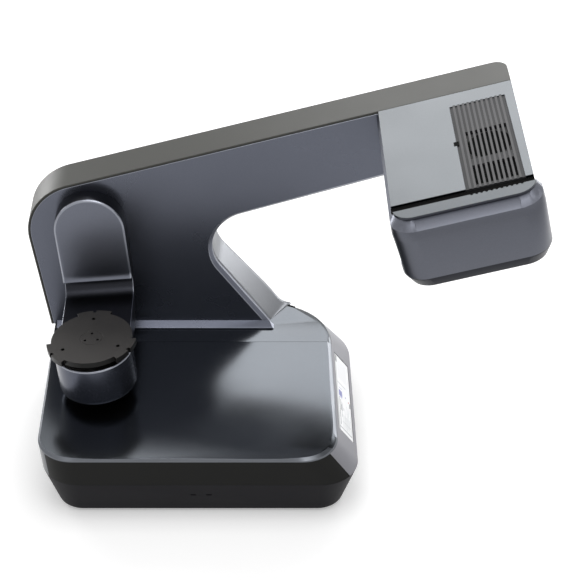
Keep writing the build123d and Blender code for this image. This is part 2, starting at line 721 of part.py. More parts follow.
def swing_bearing():
    """The ring in the arm's frame that the swing shaft turns in."""
    y0 = ARM_FACE_Y + WALL
    y1 = y0 + SWING_BEARING_LENGTH
    ring = rod(SWING_BEARING_RADIUS, y0, y1, PIVOT_X, PIVOT_Z)
    return ring - rod(SWING_SHAFT_RADIUS + RUNNING_FIT, y0 - 1, y1, PIVOT_X, PIVOT_Z)


def swing_gearmotor():
    """The sealed geared motor behind the bearing."""
    y0 = ARM_FACE_Y + WALL + SWING_BEARING_LENGTH
    y1 = ARM_BACK_Y - WALL
    case = rod(SWING_BEARING_RADIUS, y0, y0 + FRAME_THICKNESS - WALL, PIVOT_X, PIVOT_Z)
    body_y = COVER_BACK_Y + FRAME_THICKNESS
    outline = RectangleRounded(SWING_MOTOR_SIZE, SWING_MOTOR_SIZE, LOWER_EDGE)
    case += slab(Pos(PIVOT_X, PIVOT_Z) * outline, body_y, y1)
    bore_end = body_y + SWING_SHAFT_TAIL + RUNNING_FIT
    return case - rod(SWING_SHAFT_RADIUS + RUNNING_FIT, y0, bore_end, PIVOT_X, PIVOT_Z)


def swing_shaft():
    """The shaft on the back of the bracket."""
    seat = ARM_FACE_Y - SWING_GAP
    shaft = rod(SWING_SHAFT_RADIUS, seat, COVER_BACK_Y + FRAME_THICKNESS + SWING_SHAFT_TAIL)
    return STAGE * (shaft + rod(SPIGOT_RADIUS, seat - SPIGOT_LENGTH, seat))


# Swinging stage, drawn about its pivot


def bracket():
    """The hanging plate, undercut below its ledge, that sweeps forward into a platform."""
    back = ARM_FACE_Y - SWING_GAP
    front = back - BRACKET_THICKNESS
    half = BRACKET_WIDTH / 2
    low = -PLATFORM_DROP - PLATFORM_THICKNESS
    outline = Pos(0, low / 2) * Rectangle(BRACKET_WIDTH, -low) + Circle(half)
    upright = slab(outline, TABLE_Y, back)
    ledge_front = front - BRACKET_HOLLOW
    ledge_back = ledge_front + LEDGE_DEPTH
    ledge_top = (ledge_front, -LEDGE_DROP + BRACKET_EDGE)
    cove_z = -PLATFORM_DROP + COVE_RADIUS
    cove = CenterArc((ledge_back - COVE_RADIUS, cove_z), COVE_RADIUS, 270, 90)
    side = make_face(
        [
            Line((back, half), (front, half)),
            ThreePointArc((front, half), (front + BRACKET_DISH, (half - LEDGE_DROP) / 2), ledge_top),
            Line(ledge_top, (ledge_front, -LEDGE_DROP)),
            Line((ledge_front, -LEDGE_DROP), (ledge_back, -LEDGE_DROP - BRACKET_EDGE)),
            Line((ledge_back, -LEDGE_DROP - BRACKET_EDGE), (ledge_back, cove_z)),
            cove,
            Line((ledge_back - COVE_RADIUS, -PLATFORM_DROP), (TABLE_Y, -PLATFORM_DROP)),
            Line((TABLE_Y, -PLATFORM_DROP), (TABLE_Y, low)),
            Line((TABLE_Y, low), (back - 2 * PLATFORM_THICKNESS, low)),
            Line((back - 2 * PLATFORM_THICKNESS, low), (back, -PLATFORM_DROP)),
            Line((back, -PLATFORM_DROP), (back, half)),
        ]
    )
    sweep_body = extrude(Plane.YZ.offset(-half) * side, amount=BRACKET_WIDTH)
    shape = upright & sweep_body
    shape -= Pos(0, TABLE_Y, 0) * Cylinder(HOUSING_RADIUS, 4 * PLATFORM_DROP)
    shape -= rod(SPIGOT_RADIUS, back - SPIGOT_LENGTH, back)
    return STAGE * shape


def at_table(z, shape):
    """Place a shape on the turntable's axis, at a level measured from the pivot."""
    return STAGE * Pos(0, TABLE_Y, z) * shape


def motor_housing():
    """The cup in front of the platform that holds the turntable's drive."""
    top = -PLATFORM_DROP
    cup = Pos(0, 0, -HOUSING_HEIGHT / 2) * Cylinder(HOUSING_RADIUS, HOUSING_HEIGHT)
    cup = fillet(cup.edges().group_by(Axis.Z)[0], HOUSING_EDGE)
    cup = chamfer(cup.edges().group_by(Axis.Z)[-1], 1.2)
    depth = HOUSING_HEIGHT - HOUSING_WALL
    cup -= Pos(0, 0, -depth / 2) * Cylinder(HOUSING_RADIUS - HOUSING_WALL, depth)
    return at_table(top, cup)


def housing_cap():
    """The round lid in the cup's mouth, bored for the spindle's bearing."""
    lid = Cylinder(HOUSING_RADIUS - HOUSING_WALL, CAP_THICKNESS)
    lid -= Cylinder(SPINDLE_BEARING_RADIUS, 2 * CAP_THICKNESS)
    return at_table(-PLATFORM_DROP - CAP_DEPTH - CAP_THICKNESS / 2, lid)


def spindle_bearing():
    """The ring between the lid and the spindle."""
    ring = Cylinder(SPINDLE_BEARING_RADIUS, SPINDLE_BEARING_LENGTH)
    ring -= Cylinder(SPINDLE_RADIUS + RUNNING_FIT, 2 * SPINDLE_BEARING_LENGTH)
    return at_table(-PLATFORM_DROP - CAP_DEPTH - SPINDLE_BEARING_LENGTH / 2, ring)


def turntable_motor():
    """The sealed motor under the bearing, standing on the cup's floor."""
    top = -PLATFORM_DROP - CAP_DEPTH - SPINDLE_BEARING_LENGTH
    floor = -PLATFORM_DROP - HOUSING_HEIGHT + HOUSING_WALL
    height = top - floor
    motor = Cylinder(TABLE_MOTOR_RADIUS, height)
    motor -= Pos(0, 0, height / 2 - 5) * Cylinder(SPINDLE_RADIUS + RUNNING_FIT, 10)
    return at_table((top + floor) / 2, motor)


def turntable_spindle():
    """The spindle that carries the plate."""
    top = -TABLE_DROP - TABLE_THICKNESS
    low = -PLATFORM_DROP - CAP_DEPTH - SPINDLE_BEARING_LENGTH - 9
    flange = Pos(0, 0, top - 1.5) * Cylinder(2 * SPINDLE_RADIUS, 3)
    spindle = Pos(0, 0, (top + low) / 2) * Cylinder(SPINDLE_RADIUS, top - low)
    return at_table(0, flange + spindle)


def table_angles():
    """The directions of the plate's three lobes."""
    return [90 + 120 * index for index in range(3)]


def turntable_plate():
    """The plate: a disc with three lobes, rim holes and notches, and a ring of hub holes."""
    outline = Circle(TABLE_RADIUS)
    half = TABLE_LOBE_ANGLE / 2
    for angle in table_angles():
        start = Vector(TABLE_LOBE_RADIUS, 0).rotate(Axis.Z, angle - half)
        middle = Vector(TABLE_LOBE_RADIUS, 0).rotate(Axis.Z, angle)
        end = Vector(TABLE_LOBE_RADIUS, 0).rotate(Axis.Z, angle + half)
        outline += make_face([Line((0, 0), start), ThreePointArc(start, middle, end), Line(end, (0, 0))])
    for angle in table_angles():
        outline -= Rot(0, 0, angle) * Pos(TABLE_LOBE_RADIUS, 0) * Rectangle(TABLE_NOTCH * 1.6, TABLE_NOTCH)
        outline -= Rot(0, 0, angle) * Pos(TABLE_HOLE_CIRCLE, 0) * Circle(TABLE_HOLE_RADIUS)
        outline -= Rot(0, 0, angle) * Pos(HUB_HOLE_CIRCLE, 0) * Circle(HUB_HOLE_RADIUS)
    plate = extrude(Pos(0, 0, -TABLE_THICKNESS) * outline, amount=TABLE_THICKNESS)
    groove = Circle(HUB_HOLE_CIRCLE + 4.5) - Circle(HUB_HOLE_CIRCLE + 3.8)
    plate -= extrude(Pos(0, 0, -0.4) * groove, amount=1)
    return at_table(-TABLE_DROP, plate)


# Scan head, drawn in its own directions


def head_plan(n, side, front_y, radius):
    """The head from above at a level: square at the arm, round at the two front corners."""
    x0, x1 = -side, HEAD_WIDTH + side
    outline = plan(x0, x1, front_y, ARM_FACE_Y + 2 * radius, radius)
    keep = Pos((x0 + x1) / 2, (front_y - radius + ARM_FACE_Y) / 2)
    outline &= keep * Rectangle(3 * HEAD_WIDTH, ARM_FACE_Y - front_y + radius)
    return Pos(0, 0, n) * outline


def hood_body(inset=0.0):
    """The head's outer form: a shoulder of two slopes, drawn-in walls and a bevelled foot."""
    side = HEAD_OVERHANG - inset
    front = HEAD_FRONT_Y + inset
    foot_n = -HEAD_HEIGHT
    low_n = foot_n + HEAD_FOOT_HEIGHT
    low_side, low_front = side - HEAD_SIDE_TAPER, front + HEAD_FRONT_TAPER
    corner = HEAD_CORNER - inset
    foot_in = HEAD_FOOT_INSET
    levels = [
        head_plan(-TOP_THICKNESS, -COVER_TAPER / 2 - inset, LIP_FRONT_Y + inset, LIP_CORNER),
        head_plan(-BROW_DROP, 0.7 * HEAD_OVERHANG - inset, front + BROW_SETBACK, corner - HEAD_SIDE_TAPER),
        head_plan(-SHOULDER_DROP, side, front, corner),
        head_plan(low_n, low_side, low_front, corner),
        head_plan(foot_n, low_side - foot_in, low_front + foot_in, corner - foot_in / 2),
    ]
    body = loft(levels[:2], ruled=True)
    for upper, lower in zip(levels[1:], levels[2:]):
        body += loft([lower, upper], ruled=True)
    rear_right = HEAD_WIDTH - HEAD_REAR_SETBACK - inset
    step_y = (GROOVE_FRONT_Y + GROOVE_BACK_Y) / 2 - inset
    return body - block(rear_right, 2 * HEAD_WIDTH, step_y, 2 * ARM_FACE_Y, -2 * HEAD_HEIGHT, HEAD_HEIGHT)


def window_opening():
    """The slot for the window through the head's left wall."""
    y = (WINDOW_FRONT_Y + WINDOW_BACK_Y) / 2
    n = -WINDOW_TOP - WINDOW_HEIGHT / 2
    outline = RectangleRounded(WINDOW_BACK_Y - WINDOW_FRONT_Y, WINDOW_HEIGHT, WINDOW_CORNER)
    outside = -2 * HEAD_OVERHANG
    return extrude(Plane.YZ.offset(outside) * Pos(y, n) * outline, amount=OPTICS_SETBACK - outside)


def head_screw_places():
    """Screws in the head's underside, as (s, y)."""
    rows = [TABLE_Y - CAMERA_SPACING / 2, TABLE_Y + CAMERA_SPACING / 2]
    return [(s, y) for s in (BENCH_MARGIN + 10, HEAD_WIDTH - BENCH_MARGIN - 10) for y in rows]


def head_slice(n0, n1, s0=-HEAD_WIDTH, s1=2 * HEAD_WIDTH, y0=2 * HEAD_FRONT_Y):
    """The space of the head between two levels."""
    return block(s0, s1, y0, 2 * ARM_FACE_Y, n0, n1)


def head_lower_housing():
    """The hood: side walls, floor and sloped shoulder of the head."""
    roof_n = -TOP_THICKNESS - HEAD_WALL
    hollow = hood_body(HEAD_WALL) & head_slice(-HEAD_HEIGHT + HEAD_WALL, roof_n)
    shell = hood_body() - hollow
    shell -= head_slice(roof_n, 0, HEAD_WALL, HEAD_WIDTH - 2 * HEAD_WALL, GROOVE_BACK_Y)
    shell -= window_opening()
    for s, y in head_screw_places():
        shell -= Pos(s, y, -HEAD_HEIGHT) * Rot(180, 0, 0) * screw_hole()
    return HEAD * shell


def rib_places():
    """The ribs of the grille, half way between its slots and one beyond them on each side."""
    first = SLOT_LEFT - 1.5 * RIB_PITCH
    return [first + RIB_PITCH * index for index in range(RIB_COUNT)]


def rib_notches(y0, y1, clearance):
    """The notches that the ribs' ends stand in."""
    half = RIB_WIDTH / 2 + clearance
    return [block(s - half, s + half, y0, y1, -2 * TOP_THICKNESS, TOP_THICKNESS) for s in rib_places()]


def lip_cover():
    """The light lip in front of the groove, notched before the grille's ribs."""
    lip = extrude(head_plan(-TOP_THICKNESS, -COVER_TAPER / 2, LIP_FRONT_Y, LIP_CORNER), amount=TOP_THICKNESS)
    lip &= block(-HEAD_WIDTH, 2 * HEAD_WIDTH, LIP_FRONT_Y, GROOVE_FRONT_Y, -TOP_THICKNESS, 0)
    for notch in rib_notches(GROOVE_FRONT_Y - RIB_END, GROOVE_FRONT_Y, 0):
        lip -= notch
    return HEAD * lip


def grille_outline(clearance=0.0):
    """The recess for the grille, from above."""
    x0 = GRILLE_LEFT - clearance
    x1 = GRILLE_LEFT + GRILLE_WIDTH + clearance
    y0 = GROOVE_BACK_Y
    y1 = GRILLE_BACK_Y + clearance
    return Pos((x0 + x1) / 2, (y0 + y1) / 2) * Rectangle(x1 - x0, y1 - y0)


def head_top_cover():
    """The light top plate of the head, cut out for the grille, its rib ends and its latch."""
    front_s = HEAD_WIDTH - COVER_TAPER
    corners = [(0, GROOVE_BACK_Y), (front_s, GROOVE_BACK_Y), (HEAD_WIDTH, ARM_FACE_Y), (0, ARM_FACE_Y)]
    outline = Pos(0, 0, -TOP_THICKNESS) * make_face(Polyline(corners, close=True))
    plate = extrude(outline, amount=TOP_THICKNESS)
    plate -= extrude(Pos(0, 0, -TOP_THICKNESS) * grille_outline(RUNNING_FIT), amount=2 * TOP_THICKNESS)
    for notch in rib_notches(GRILLE_BACK_Y, GRILLE_BACK_Y + RIB_END, RUNNING_FIT):
        plate -= notch
    return HEAD * (plate - Pos(GRILLE_LEFT, LATCH_Y, 0) * Box(LATCH_SIZE, LATCH_SIZE, 3 * TOP_THICKNESS))


def slot_row(front_y, length, depth):
    """One row of vent slots, cut through the grille."""
    slot = block(-SLOT_WIDTH / 2, SLOT_WIDTH / 2, front_y, front_y + length, -depth, depth)
    return [Pos(SLOT_LEFT + RIB_PITCH * index, 0, 0) * slot for index in range(SLOT_COUNT)]


def vent_grille():
    """The dark grille: fine ribs from front to back, and two rows of slots between them."""
    plate = extrude(Pos(0, 0, -GRILLE_RECESS - GRILLE_THICKNESS) * grille_outline(), amount=GRILLE_THICKNESS)
    half = RIB_WIDTH / 2
    low, high = -GRILLE_RECESS - RIB_HEIGHT, -GRILLE_RECESS + RIB_HEIGHT
    for s in rib_places():
        plate += block(s - half, s + half, GROOVE_BACK_Y, GRILLE_BACK_Y + RIB_END, low, high)
    for slot in slot_row(UPPER_SLOT_FRONT_Y, UPPER_SLOT_LENGTH, 2 * TOP_THICKNESS):
        plate -= slot
    for slot in slot_row(LOWER_SLOT_FRONT_Y, LOWER_SLOT_LENGTH, 2 * TOP_THICKNESS):
        plate -= slot
    return HEAD * (plate - Pos(GRILLE_LEFT, LATCH_Y, 0) * Box(LATCH_SIZE, LATCH_SIZE, TOP_THICKNESS))


def head_screws():
    """The four screws in the head's underside."""
    screws = [Pos(s, y, -HEAD_HEIGHT) * Rot(180, 0, 0) * screw() for s, y in head_screw_places()]
    return Compound(children=[HEAD * one for one in screws])


def optical_window():
    """The dark pane in the head's left wall, just below its face."""
    pane = hood_body(WINDOW_RECESS) - hood_body(WINDOW_RECESS + WINDOW_THICKNESS)
    return HEAD * (pane & window_opening())


def camera_places():
    """Each camera's place along the head and its turn towards the turntable."""
    return [(TABLE_Y - CAMERA_SPACING / 2, CAMERA_TOE_IN), (TABLE_Y + CAMERA_SPACING / 2, -CAMERA_TOE_IN)]


def camera_local(y, turn, shape):
    """Place a shape drawn about a camera's front centre, where x runs into the head."""
    return HEAD * Pos(OPTICS_SETBACK + LENS_LENGTH, y, -OPTICS_DROP) * Rot(0, 0, -turn) * shape


def camera_body(index):
    """A camera's block, with a shallow relief around its lens."""
    y, turn = camera_places()[index]
    body = block(0, CAMERA_LENGTH, -CAMERA_BODY / 2, CAMERA_BODY / 2, -CAMERA_BODY / 2, CAMERA_BODY / 2)
    body = fillet(body.edges().filter_by(Axis.X), 2)
    body -= Pos(1, 0, 0) * Rot(0, 90, 0) * Cylinder(LENS_RADIUS, 2)
    return camera_local(y, turn, body)


def lens_barrel(radius, length):
    """A lens barrel that points along -x from the origin: rings, a cone-shaped mouth, a glass."""
    outside = [(0, 1), (-0.35, 1), (-0.4, 0.93), (-0.6, 0.93), (-0.65, 1), (-1, 1)]
    inside = [(-1, 0.84), (-0.72, 0.6), (-0.78, 0.3), (-0.8, 0), (0, 0)]
    points = [(x * length, r * radius) for x, r in outside + inside]
    return revolve(make_face(Polyline(points, close=True)), Axis.X)


def camera_lens(index):
    """The lens on one camera."""
    y, turn = camera_places()[index]
    return camera_local(y, turn, Pos(2, 0, 0) * lens_barrel(LENS_RADIUS, LENS_LENGTH + 2))


def projector_body():
    """The projector between the cameras, with cooling ribs on its top."""
    s0 = OPTICS_SETBACK + LENS_LENGTH
    n0 = -OPTICS_DROP - PROJECTOR_HEIGHT / 2
    n1 = n0 + PROJECTOR_HEIGHT
    y0 = TABLE_Y - PROJECTOR_WIDTH / 2
    body = block(s0, s0 + PROJECTOR_LENGTH, y0, y0 + PROJECTOR_WIDTH, n0, n1)
    for index in range(6):
        y = y0 + 4 + 7 * index
        body -= block(s0 + 6, s0 + PROJECTOR_LENGTH, y, y + 3.5, n1 - 5, n1)
    return HEAD * body


def projector_lens():
    """The projector's lens."""
    place = Pos(OPTICS_SETBACK + LENS_LENGTH, TABLE_Y, -OPTICS_DROP)
    return HEAD * place * lens_barrel(PROJECTOR_LENS_RADIUS, LENS_LENGTH)


def optical_bench():
    """The plate on the head's floor, with a saddle under each camera and the projector."""
    n0 = -HEAD_HEIGHT + HEAD_WALL
    n1 = n0 + BENCH_THICKNESS
    y0 = TABLE_Y - CAMERA_SPACING / 2 - CAMERA_BODY / 2 - 2
    y1 = TABLE_Y + CAMERA_SPACING / 2 + CAMERA_BODY / 2 + 2
    bench = block(BENCH_MARGIN, HEAD_WIDTH - BENCH_MARGIN, y0, y1, n0, n1)
    half = CAMERA_BODY / 2 - SADDLE_INSET
    saddle = block(SADDLE_INSET, CAMERA_LENGTH - SADDLE_INSET, -half, half, n1 + OPTICS_DROP, -CAMERA_BODY / 2)
    for y, turn in camera_places():
        bench += Pos(OPTICS_SETBACK + LENS_LENGTH, y, -OPTICS_DROP) * Rot(0, 0, -turn) * saddle
    s0 = OPTICS_SETBACK + LENS_LENGTH + SADDLE_INSET
    s1 = s0 + PROJECTOR_LENGTH - 2 * SADDLE_INSET
    half = PROJECTOR_WIDTH / 2 - SADDLE_INSET
    bench += block(s0, s1, TABLE_Y - half, TABLE_Y + half, n1, -OPTICS_DROP - PROJECTOR_HEIGHT / 2)
    for s, y in head_screw_places():
        bench -= Pos(s, y, -HEAD_HEIGHT) * Rot(180, 0, 0) * screw_hole()
    return HEAD * bench


def sensor_board():
    """The circuit board that stands behind the front camera."""
    n0 = -HEAD_HEIGHT + HEAD_WALL + BENCH_THICKNESS
    s0 = HEAD_WIDTH - BENCH_MARGIN - SENSOR_BOARD_SETBACK
    y0 = TABLE_Y - CAMERA_SPACING / 2 - CAMERA_BODY / 2
    board = block(s0, s0 + BOARD_THICKNESS, y0, y0 + SENSOR_BOARD_LENGTH, n0, n0 + SENSOR_BOARD_HEIGHT)
    chip_n = n0 + (SENSOR_BOARD_HEIGHT - SENSOR_CHIP) / 2
    chip_y = y0 + SENSOR_CHIP
    board += block(s0 - 2 * BOARD_THICKNESS, s0, chip_y, chip_y + SENSOR_CHIP, chip_n, chip_n + SENSOR_CHIP)
    plug_n = n0 + (SENSOR_BOARD_HEIGHT - SENSOR_PLUG_HEIGHT) / 2
    plug_y = y0 + SENSOR_BOARD_LENGTH - SENSOR_CHIP
    board += block(s0 - WALL, s0, plug_y, plug_y + SENSOR_CHIP / 2, plug_n, plug_n + SENSOR_PLUG_HEIGHT)
    return HEAD * board


# Fan, drawn with its air side up


def at_fan(shape):
    """Place a shape drawn about the fan's centre, at the level of the grille's underside."""
    fan_s = SLOT_LEFT + RIB_PITCH * (SLOT_COUNT - 1) / 2
    return HEAD * Pos(fan_s, FAN_Y, -GRILLE_RECESS - GRILLE_THICKNESS) * shape


def fan_frame():
    """The square frame with its bore, three struts and the motor's disc with a pin."""
    bore = FAN_SIZE / 2 - FAN_WALL
    frame = block(-FAN_SIZE / 2, FAN_SIZE / 2, -FAN_SIZE / 2, FAN_SIZE / 2, -FAN_DEPTH, 0)
    frame = fillet(frame.edges().filter_by(Axis.Z), 3)
    frame -= Pos(0, 0, -FAN_DEPTH / 2) * Cylinder(bore, 2 * FAN_DEPTH)
    for index in range(3):
        strut = block(0, bore + FAN_WALL / 2, -1.5, 1.5, -FAN_DEPTH, -FAN_DEPTH + FAN_BACK)
        frame += Rot(0, 0, 30 + 120 * index) * strut
    frame += Pos(0, 0, -FAN_DEPTH + FAN_BACK / 2) * Cylinder(FAN_HUB_RADIUS, FAN_BACK)
    frame += Pos(0, 0, -FAN_DEPTH / 2) * Cylinder(FAN_PIN_RADIUS, FAN_DEPTH - 2)
    return at_fan(frame)


def fan_rotor():
    """The hub and its pitched blades, which turn on the frame's pin."""
    low = -FAN_DEPTH + FAN_BACK + 0.4
    high = -0.8
    tall = high - low
    tip = FAN_SIZE / 2 - FAN_WALL - FAN_TIP_GAP
    middle = Pos(0, 0, (low + high) / 2)
    blades = Cylinder(FAN_HUB_RADIUS - 1, tall)
    blade = Box(tip, FAN_HUB_RADIUS, FAN_BLADE_THICKNESS, align=(Align.MIN, Align.CENTER, Align.CENTER))
    blade = Pos(FAN_PIN_RADIUS * 2, 0, 0) * Rot(FAN_BLADE_PITCH, 0, 0) * blade
    for index in range(FAN_BLADES):
        blades += Rot(0, 0, 360 / FAN_BLADES * index) * blade
    blades &= Cylinder(tip, tall)
    return at_fan(middle * (blades - Cylinder(FAN_PIN_RADIUS + RUNNING_FIT, 2 * tall)))


# Connections on the back of the base

PANEL_Z = (SEAM_Z + DECK_Z - DECK_THICKNESS) / 2
PANEL_FACE_Y = base_sides(PANEL_Z)[3] - PANEL_RECESS


def connector_panel():
    """The panel in the back wall, with the openings for inlet, switch and socket."""
    skin = base_body(SEAM_Z, DECK_Z, PANEL_RECESS) - base_body(SEAM_Z, DECK_Z, PANEL_RECESS + PANEL_THICKNESS)
    panel = skin & panel_opening()
    for x, length, height in (
        (INLET_X, INLET_LENGTH, INLET_HEIGHT),
        (SWITCH_X, SWITCH_LENGTH, 2 * ROCKER_RADIUS + SWITCH_RIM),
        (USB_X, USB_LENGTH, USB_HEIGHT),
    ):
        panel -= socket_block(x, length, height, INLET_DEPTH, INLET_DEPTH)
    return panel


def socket_block(x, length, height, depth, proud=0.0):
    """A box behind the panel's face."""
    y0, y1 = PANEL_FACE_Y - depth, PANEL_FACE_Y + proud
    return block(x - length / 2, x + length / 2, y0, y1, PANEL_Z - height / 2, PANEL_Z + height / 2)


def power_inlet():
    """The mains inlet: a deep rim with three pins."""
    rim = 2 * INLET_RIM
    body = socket_block(INLET_X, INLET_LENGTH, INLET_HEIGHT, INLET_DEPTH)
    body -= socket_block(INLET_X, INLET_LENGTH - rim, INLET_HEIGHT - rim, INLET_CAVITY)
    y0 = PANEL_FACE_Y - INLET_CAVITY
    half = PIN_SIZE / 2
    for side in (-1, 0, 1):
        x = INLET_X + PIN_PITCH * side
        z = PANEL_Z + PIN_RISE * (1 - 1.5 * abs(side))
        body += block(x - half / 2, x + half / 2, y0, y0 + PIN_LENGTH, z - half, z + half)
    return body


def usb_socket():
    """The data socket with its tongue."""
    rim = 2 * USB_RIM
    body = socket_block(USB_X, USB_LENGTH, USB_HEIGHT, USB_DEPTH)
    body -= socket_block(USB_X, USB_LENGTH - rim, USB_HEIGHT - rim, USB_CAVITY)
    half = USB_TONGUE / 2
    y0 = PANEL_FACE_Y - USB_CAVITY
    y1 = y0 + 0.75 * USB_CAVITY
    return body + block(USB_X - half, USB_X + half, y0, y1, PANEL_Z - half / 2, PANEL_Z + half / 2)


def switch_frame():
    """The switch's case, hollowed to a part cylinder round the rocker."""
    y = PANEL_FACE_Y - ROCKER_PIVOT_DEPTH
    inside = SWITCH_LENGTH - SWITCH_RIM
    radius = ROCKER_RADIUS + ROCKER_GAP
    axis = Pos(SWITCH_X, y, PANEL_Z) * Rot(0, 90, 0)
    body = socket_block(SWITCH_X, SWITCH_LENGTH, 2 * ROCKER_RADIUS + SWITCH_RIM, SWITCH_DEPTH)
    body -= axis * Cylinder(radius, inside)
    body -= Pos(SWITCH_X, y + SWITCH_DEPTH / 2, PANEL_Z) * Box(inside, SWITCH_DEPTH, 2 * radius)
    return body - axis * Cylinder(ROCKER_PIN_RADIUS + RUNNING_FIT, SWITCH_LENGTH - SWITCH_RIM / 3)


def power_rocker():
    """The rocker, tilted to its off side: a part cylinder with a dished V on its face."""
    length = SWITCH_LENGTH - SWITCH_RIM - 2 * ROCKER_GAP
    body = Rot(0, 90, 0) * Cylinder(ROCKER_RADIUS, length)
    for side in (-1, 1):
        flat = Pos(0, ROCKER_PIVOT_DEPTH + ROCKER_PROUD, 0) * Rot(-side * ROCKER_ANGLE, 0, 0)
        cut = Box(2 * length, 2 * ROCKER_RADIUS, 2 * ROCKER_RADIUS)
        body -= flat * Pos(0, ROCKER_RADIUS, side * ROCKER_RADIUS) * cut
    body += Rot(0, 90, 0) * Cylinder(ROCKER_PIN_RADIUS, SWITCH_LENGTH - SWITCH_RIM / 2)
    return Pos(SWITCH_X, PANEL_FACE_Y - ROCKER_PIVOT_DEPTH, PANEL_Z) * Rot(ROCKER_ANGLE, 0, 0) * body


# Electronics in the base


def board_corners():
    """The four holes of the control board."""
    half_x = BOARD_LENGTH / 2 - BOARD_HOLE_INSET
    half_y = BOARD_WIDTH / 2 - BOARD_HOLE_INSET
    return [(BOARD_X + sx * half_x, BOARD_Y + sy * half_y) for sx in (-1, 1) for sy in (-1, 1)]


def board_standoffs():
    """Four hexagonal posts under the control board."""
    post = extrude(Pos(0, 0, CHASSIS_TOP) * RegularPolygon(STANDOFF_RADIUS, 6), amount=STANDOFF_HEIGHT)
    return Compound(children=[Pos(x, y, 0) * post for x, y in board_corners()])


def control_board():
    """The main circuit board with its processor, memory and connectors."""
    z = CHASSIS_TOP + STANDOFF_HEIGHT
    top = z + BOARD_THICKNESS
    outline = Pos(BOARD_X, BOARD_Y, z) * RectangleRounded(BOARD_LENGTH, BOARD_WIDTH, 3)
    board = extrude(outline, amount=BOARD_THICKNESS)
    for x, y in board_corners():
        board -= Pos(x, y, z) * Cylinder(1.6, 4 * BOARD_THICKNESS)
    chip, memory = PROCESSOR_SIZE / 2, MEMORY_LENGTH / 2
    chip_top, memory_top = top + PROCESSOR_HEIGHT, top + PROCESSOR_HEIGHT / 2
    board += block(BOARD_X - chip, BOARD_X + chip, BOARD_Y - chip, BOARD_Y + chip, top, chip_top)
    for index in range(4):
        x = BOARD_X + PROCESSOR_SIZE + MEMORY_PITCH * (index - 0.5)
        board += block(x, x + MEMORY_LENGTH / 4, BOARD_Y - memory, BOARD_Y + memory, top, memory_top)
    plug_x = BOARD_X - BOARD_LENGTH / 2 + BOARD_HOLE_INSET
    for index in (-1, 0, 1):
        y = BOARD_Y + PLUG_PITCH * index - PLUG_HEIGHT
        board += block(plug_x, plug_x + 1.5 * PLUG_HEIGHT, y, y + 2 * PLUG_HEIGHT, top, top + PLUG_HEIGHT)
    return board


def heat_sink():
    """The finned block on the processor."""
    z = CHASSIS_TOP + STANDOFF_HEIGHT + BOARD_THICKNESS + PROCESSOR_HEIGHT
    half = SINK_SIZE / 2
    sink = block(BOARD_X - half, BOARD_X + half, BOARD_Y - half, BOARD_Y + half, z, z + SINK_HEIGHT)
    for index in range(-3, 4):
        x = BOARD_X + SINK_PITCH * index - SINK_GAP / 2
        sink -= block(x, x + SINK_GAP, BOARD_Y - SINK_SIZE, BOARD_Y + SINK_SIZE, z + SINK_GAP, z + SINK_SIZE)
    return sink


def power_supply():
    """The boxed power supply."""
    x0, y0 = SUPPLY_X - SUPPLY_WIDTH / 2, SUPPLY_Y - SUPPLY_LENGTH / 2
    return block(x0, x0 + SUPPLY_WIDTH, y0, y0 + SUPPLY_LENGTH, CHASSIS_TOP, CHASSIS_TOP + SUPPLY_HEIGHT)


def base_screws():
    """The screws in the underside of the base."""
    one = Rot(180, 0, 0) * screw(CHASSIS_SCREW_LENGTH)
    return Compound(children=[Pos(x, y, BASE_Z) * one for x, y in base_screw_places()])


def table_screws():
    """Three screws that hold the plate to the spindle's flange."""
    length = TABLE_THICKNESS - TABLE_SCREW_SINK
    screws = []
    for angle in table_angles():
        pin = Rot(0, 0, angle) * Pos(HUB_HOLE_CIRCLE, 0, -TABLE_SCREW_SINK - length / 2)
        screws.append(at_table(-TABLE_DROP, pin * Cylinder(HUB_HOLE_RADIUS, length)))
    return Compound(children=screws)


def all_nodes():
    """Every piece by its node's name, drawn about the middle of the base."""
    return {
        "rubber_feet": rubber_feet(),
        "base_lower_shell": lower_shell(),
        "base_upper_shell": upper_shell(),
        "front_band": front_band(),
        "deck_plate": deck_plate(),
        "chassis_plate": chassis_plate(),
        "base_screws": base_screws(),
        "screen_bezel": screen_bezel(),
        "touch_screen": touch_screen(),
        "control_board": control_board(),
        "board_standoffs": board_standoffs(),
        "heat_sink": heat_sink(),
        "power_supply": power_supply(),
        "connector_panel": connector_panel(),
        "power_inlet": power_inlet(),
        "usb_socket": usb_socket(),
        "switch_frame": switch_frame(),
        "power_rocker": power_rocker(),
        "arm_frame": arm_frame(),
        "arm_front_cover": front_cover(),
        "arm_toe_strip": toe_strip(),
        "arm_rear_housing": rear_housing(),
        "arm_spine_cover": spine_cover(),
        "arm_screws": arm_screws(),
        "swing_bearing": swing_bearing(),
        "swing_gearmotor": swing_gearmotor(),
        "swing_shaft": swing_shaft(),
        "swing_bracket": bracket(),
        "turntable_motor_housing": motor_housing(),
        "housing_cap": housing_cap(),
        "spindle_bearing": spindle_bearing(),
        "turntable_motor": turntable_motor(),
        "turntable_spindle": turntable_spindle(),
        "turntable_plate": turntable_plate(),
        "table_screws": table_screws(),
        "head_lower_housing": head_lower_housing(),
        "head_front_lip": lip_cover(),
        "head_top_cover": head_top_cover(),
        "vent_grille": vent_grille(),
        "head_screws": head_screws(),
        "optical_window": optical_window(),
        "optical_bench": optical_bench(),
        "camera_front": camera_body(0),
        "camera_rear": camera_body(1),
        "camera_front_lens": camera_lens(0),
        "camera_rear_lens": camera_lens(1),
        "projector_body": projector_body(),
        "projector_lens": projector_lens(),
        "sensor_board": sensor_board(),
        "fan_frame": fan_frame(),
        "fan_rotor": fan_rotor(),
    }


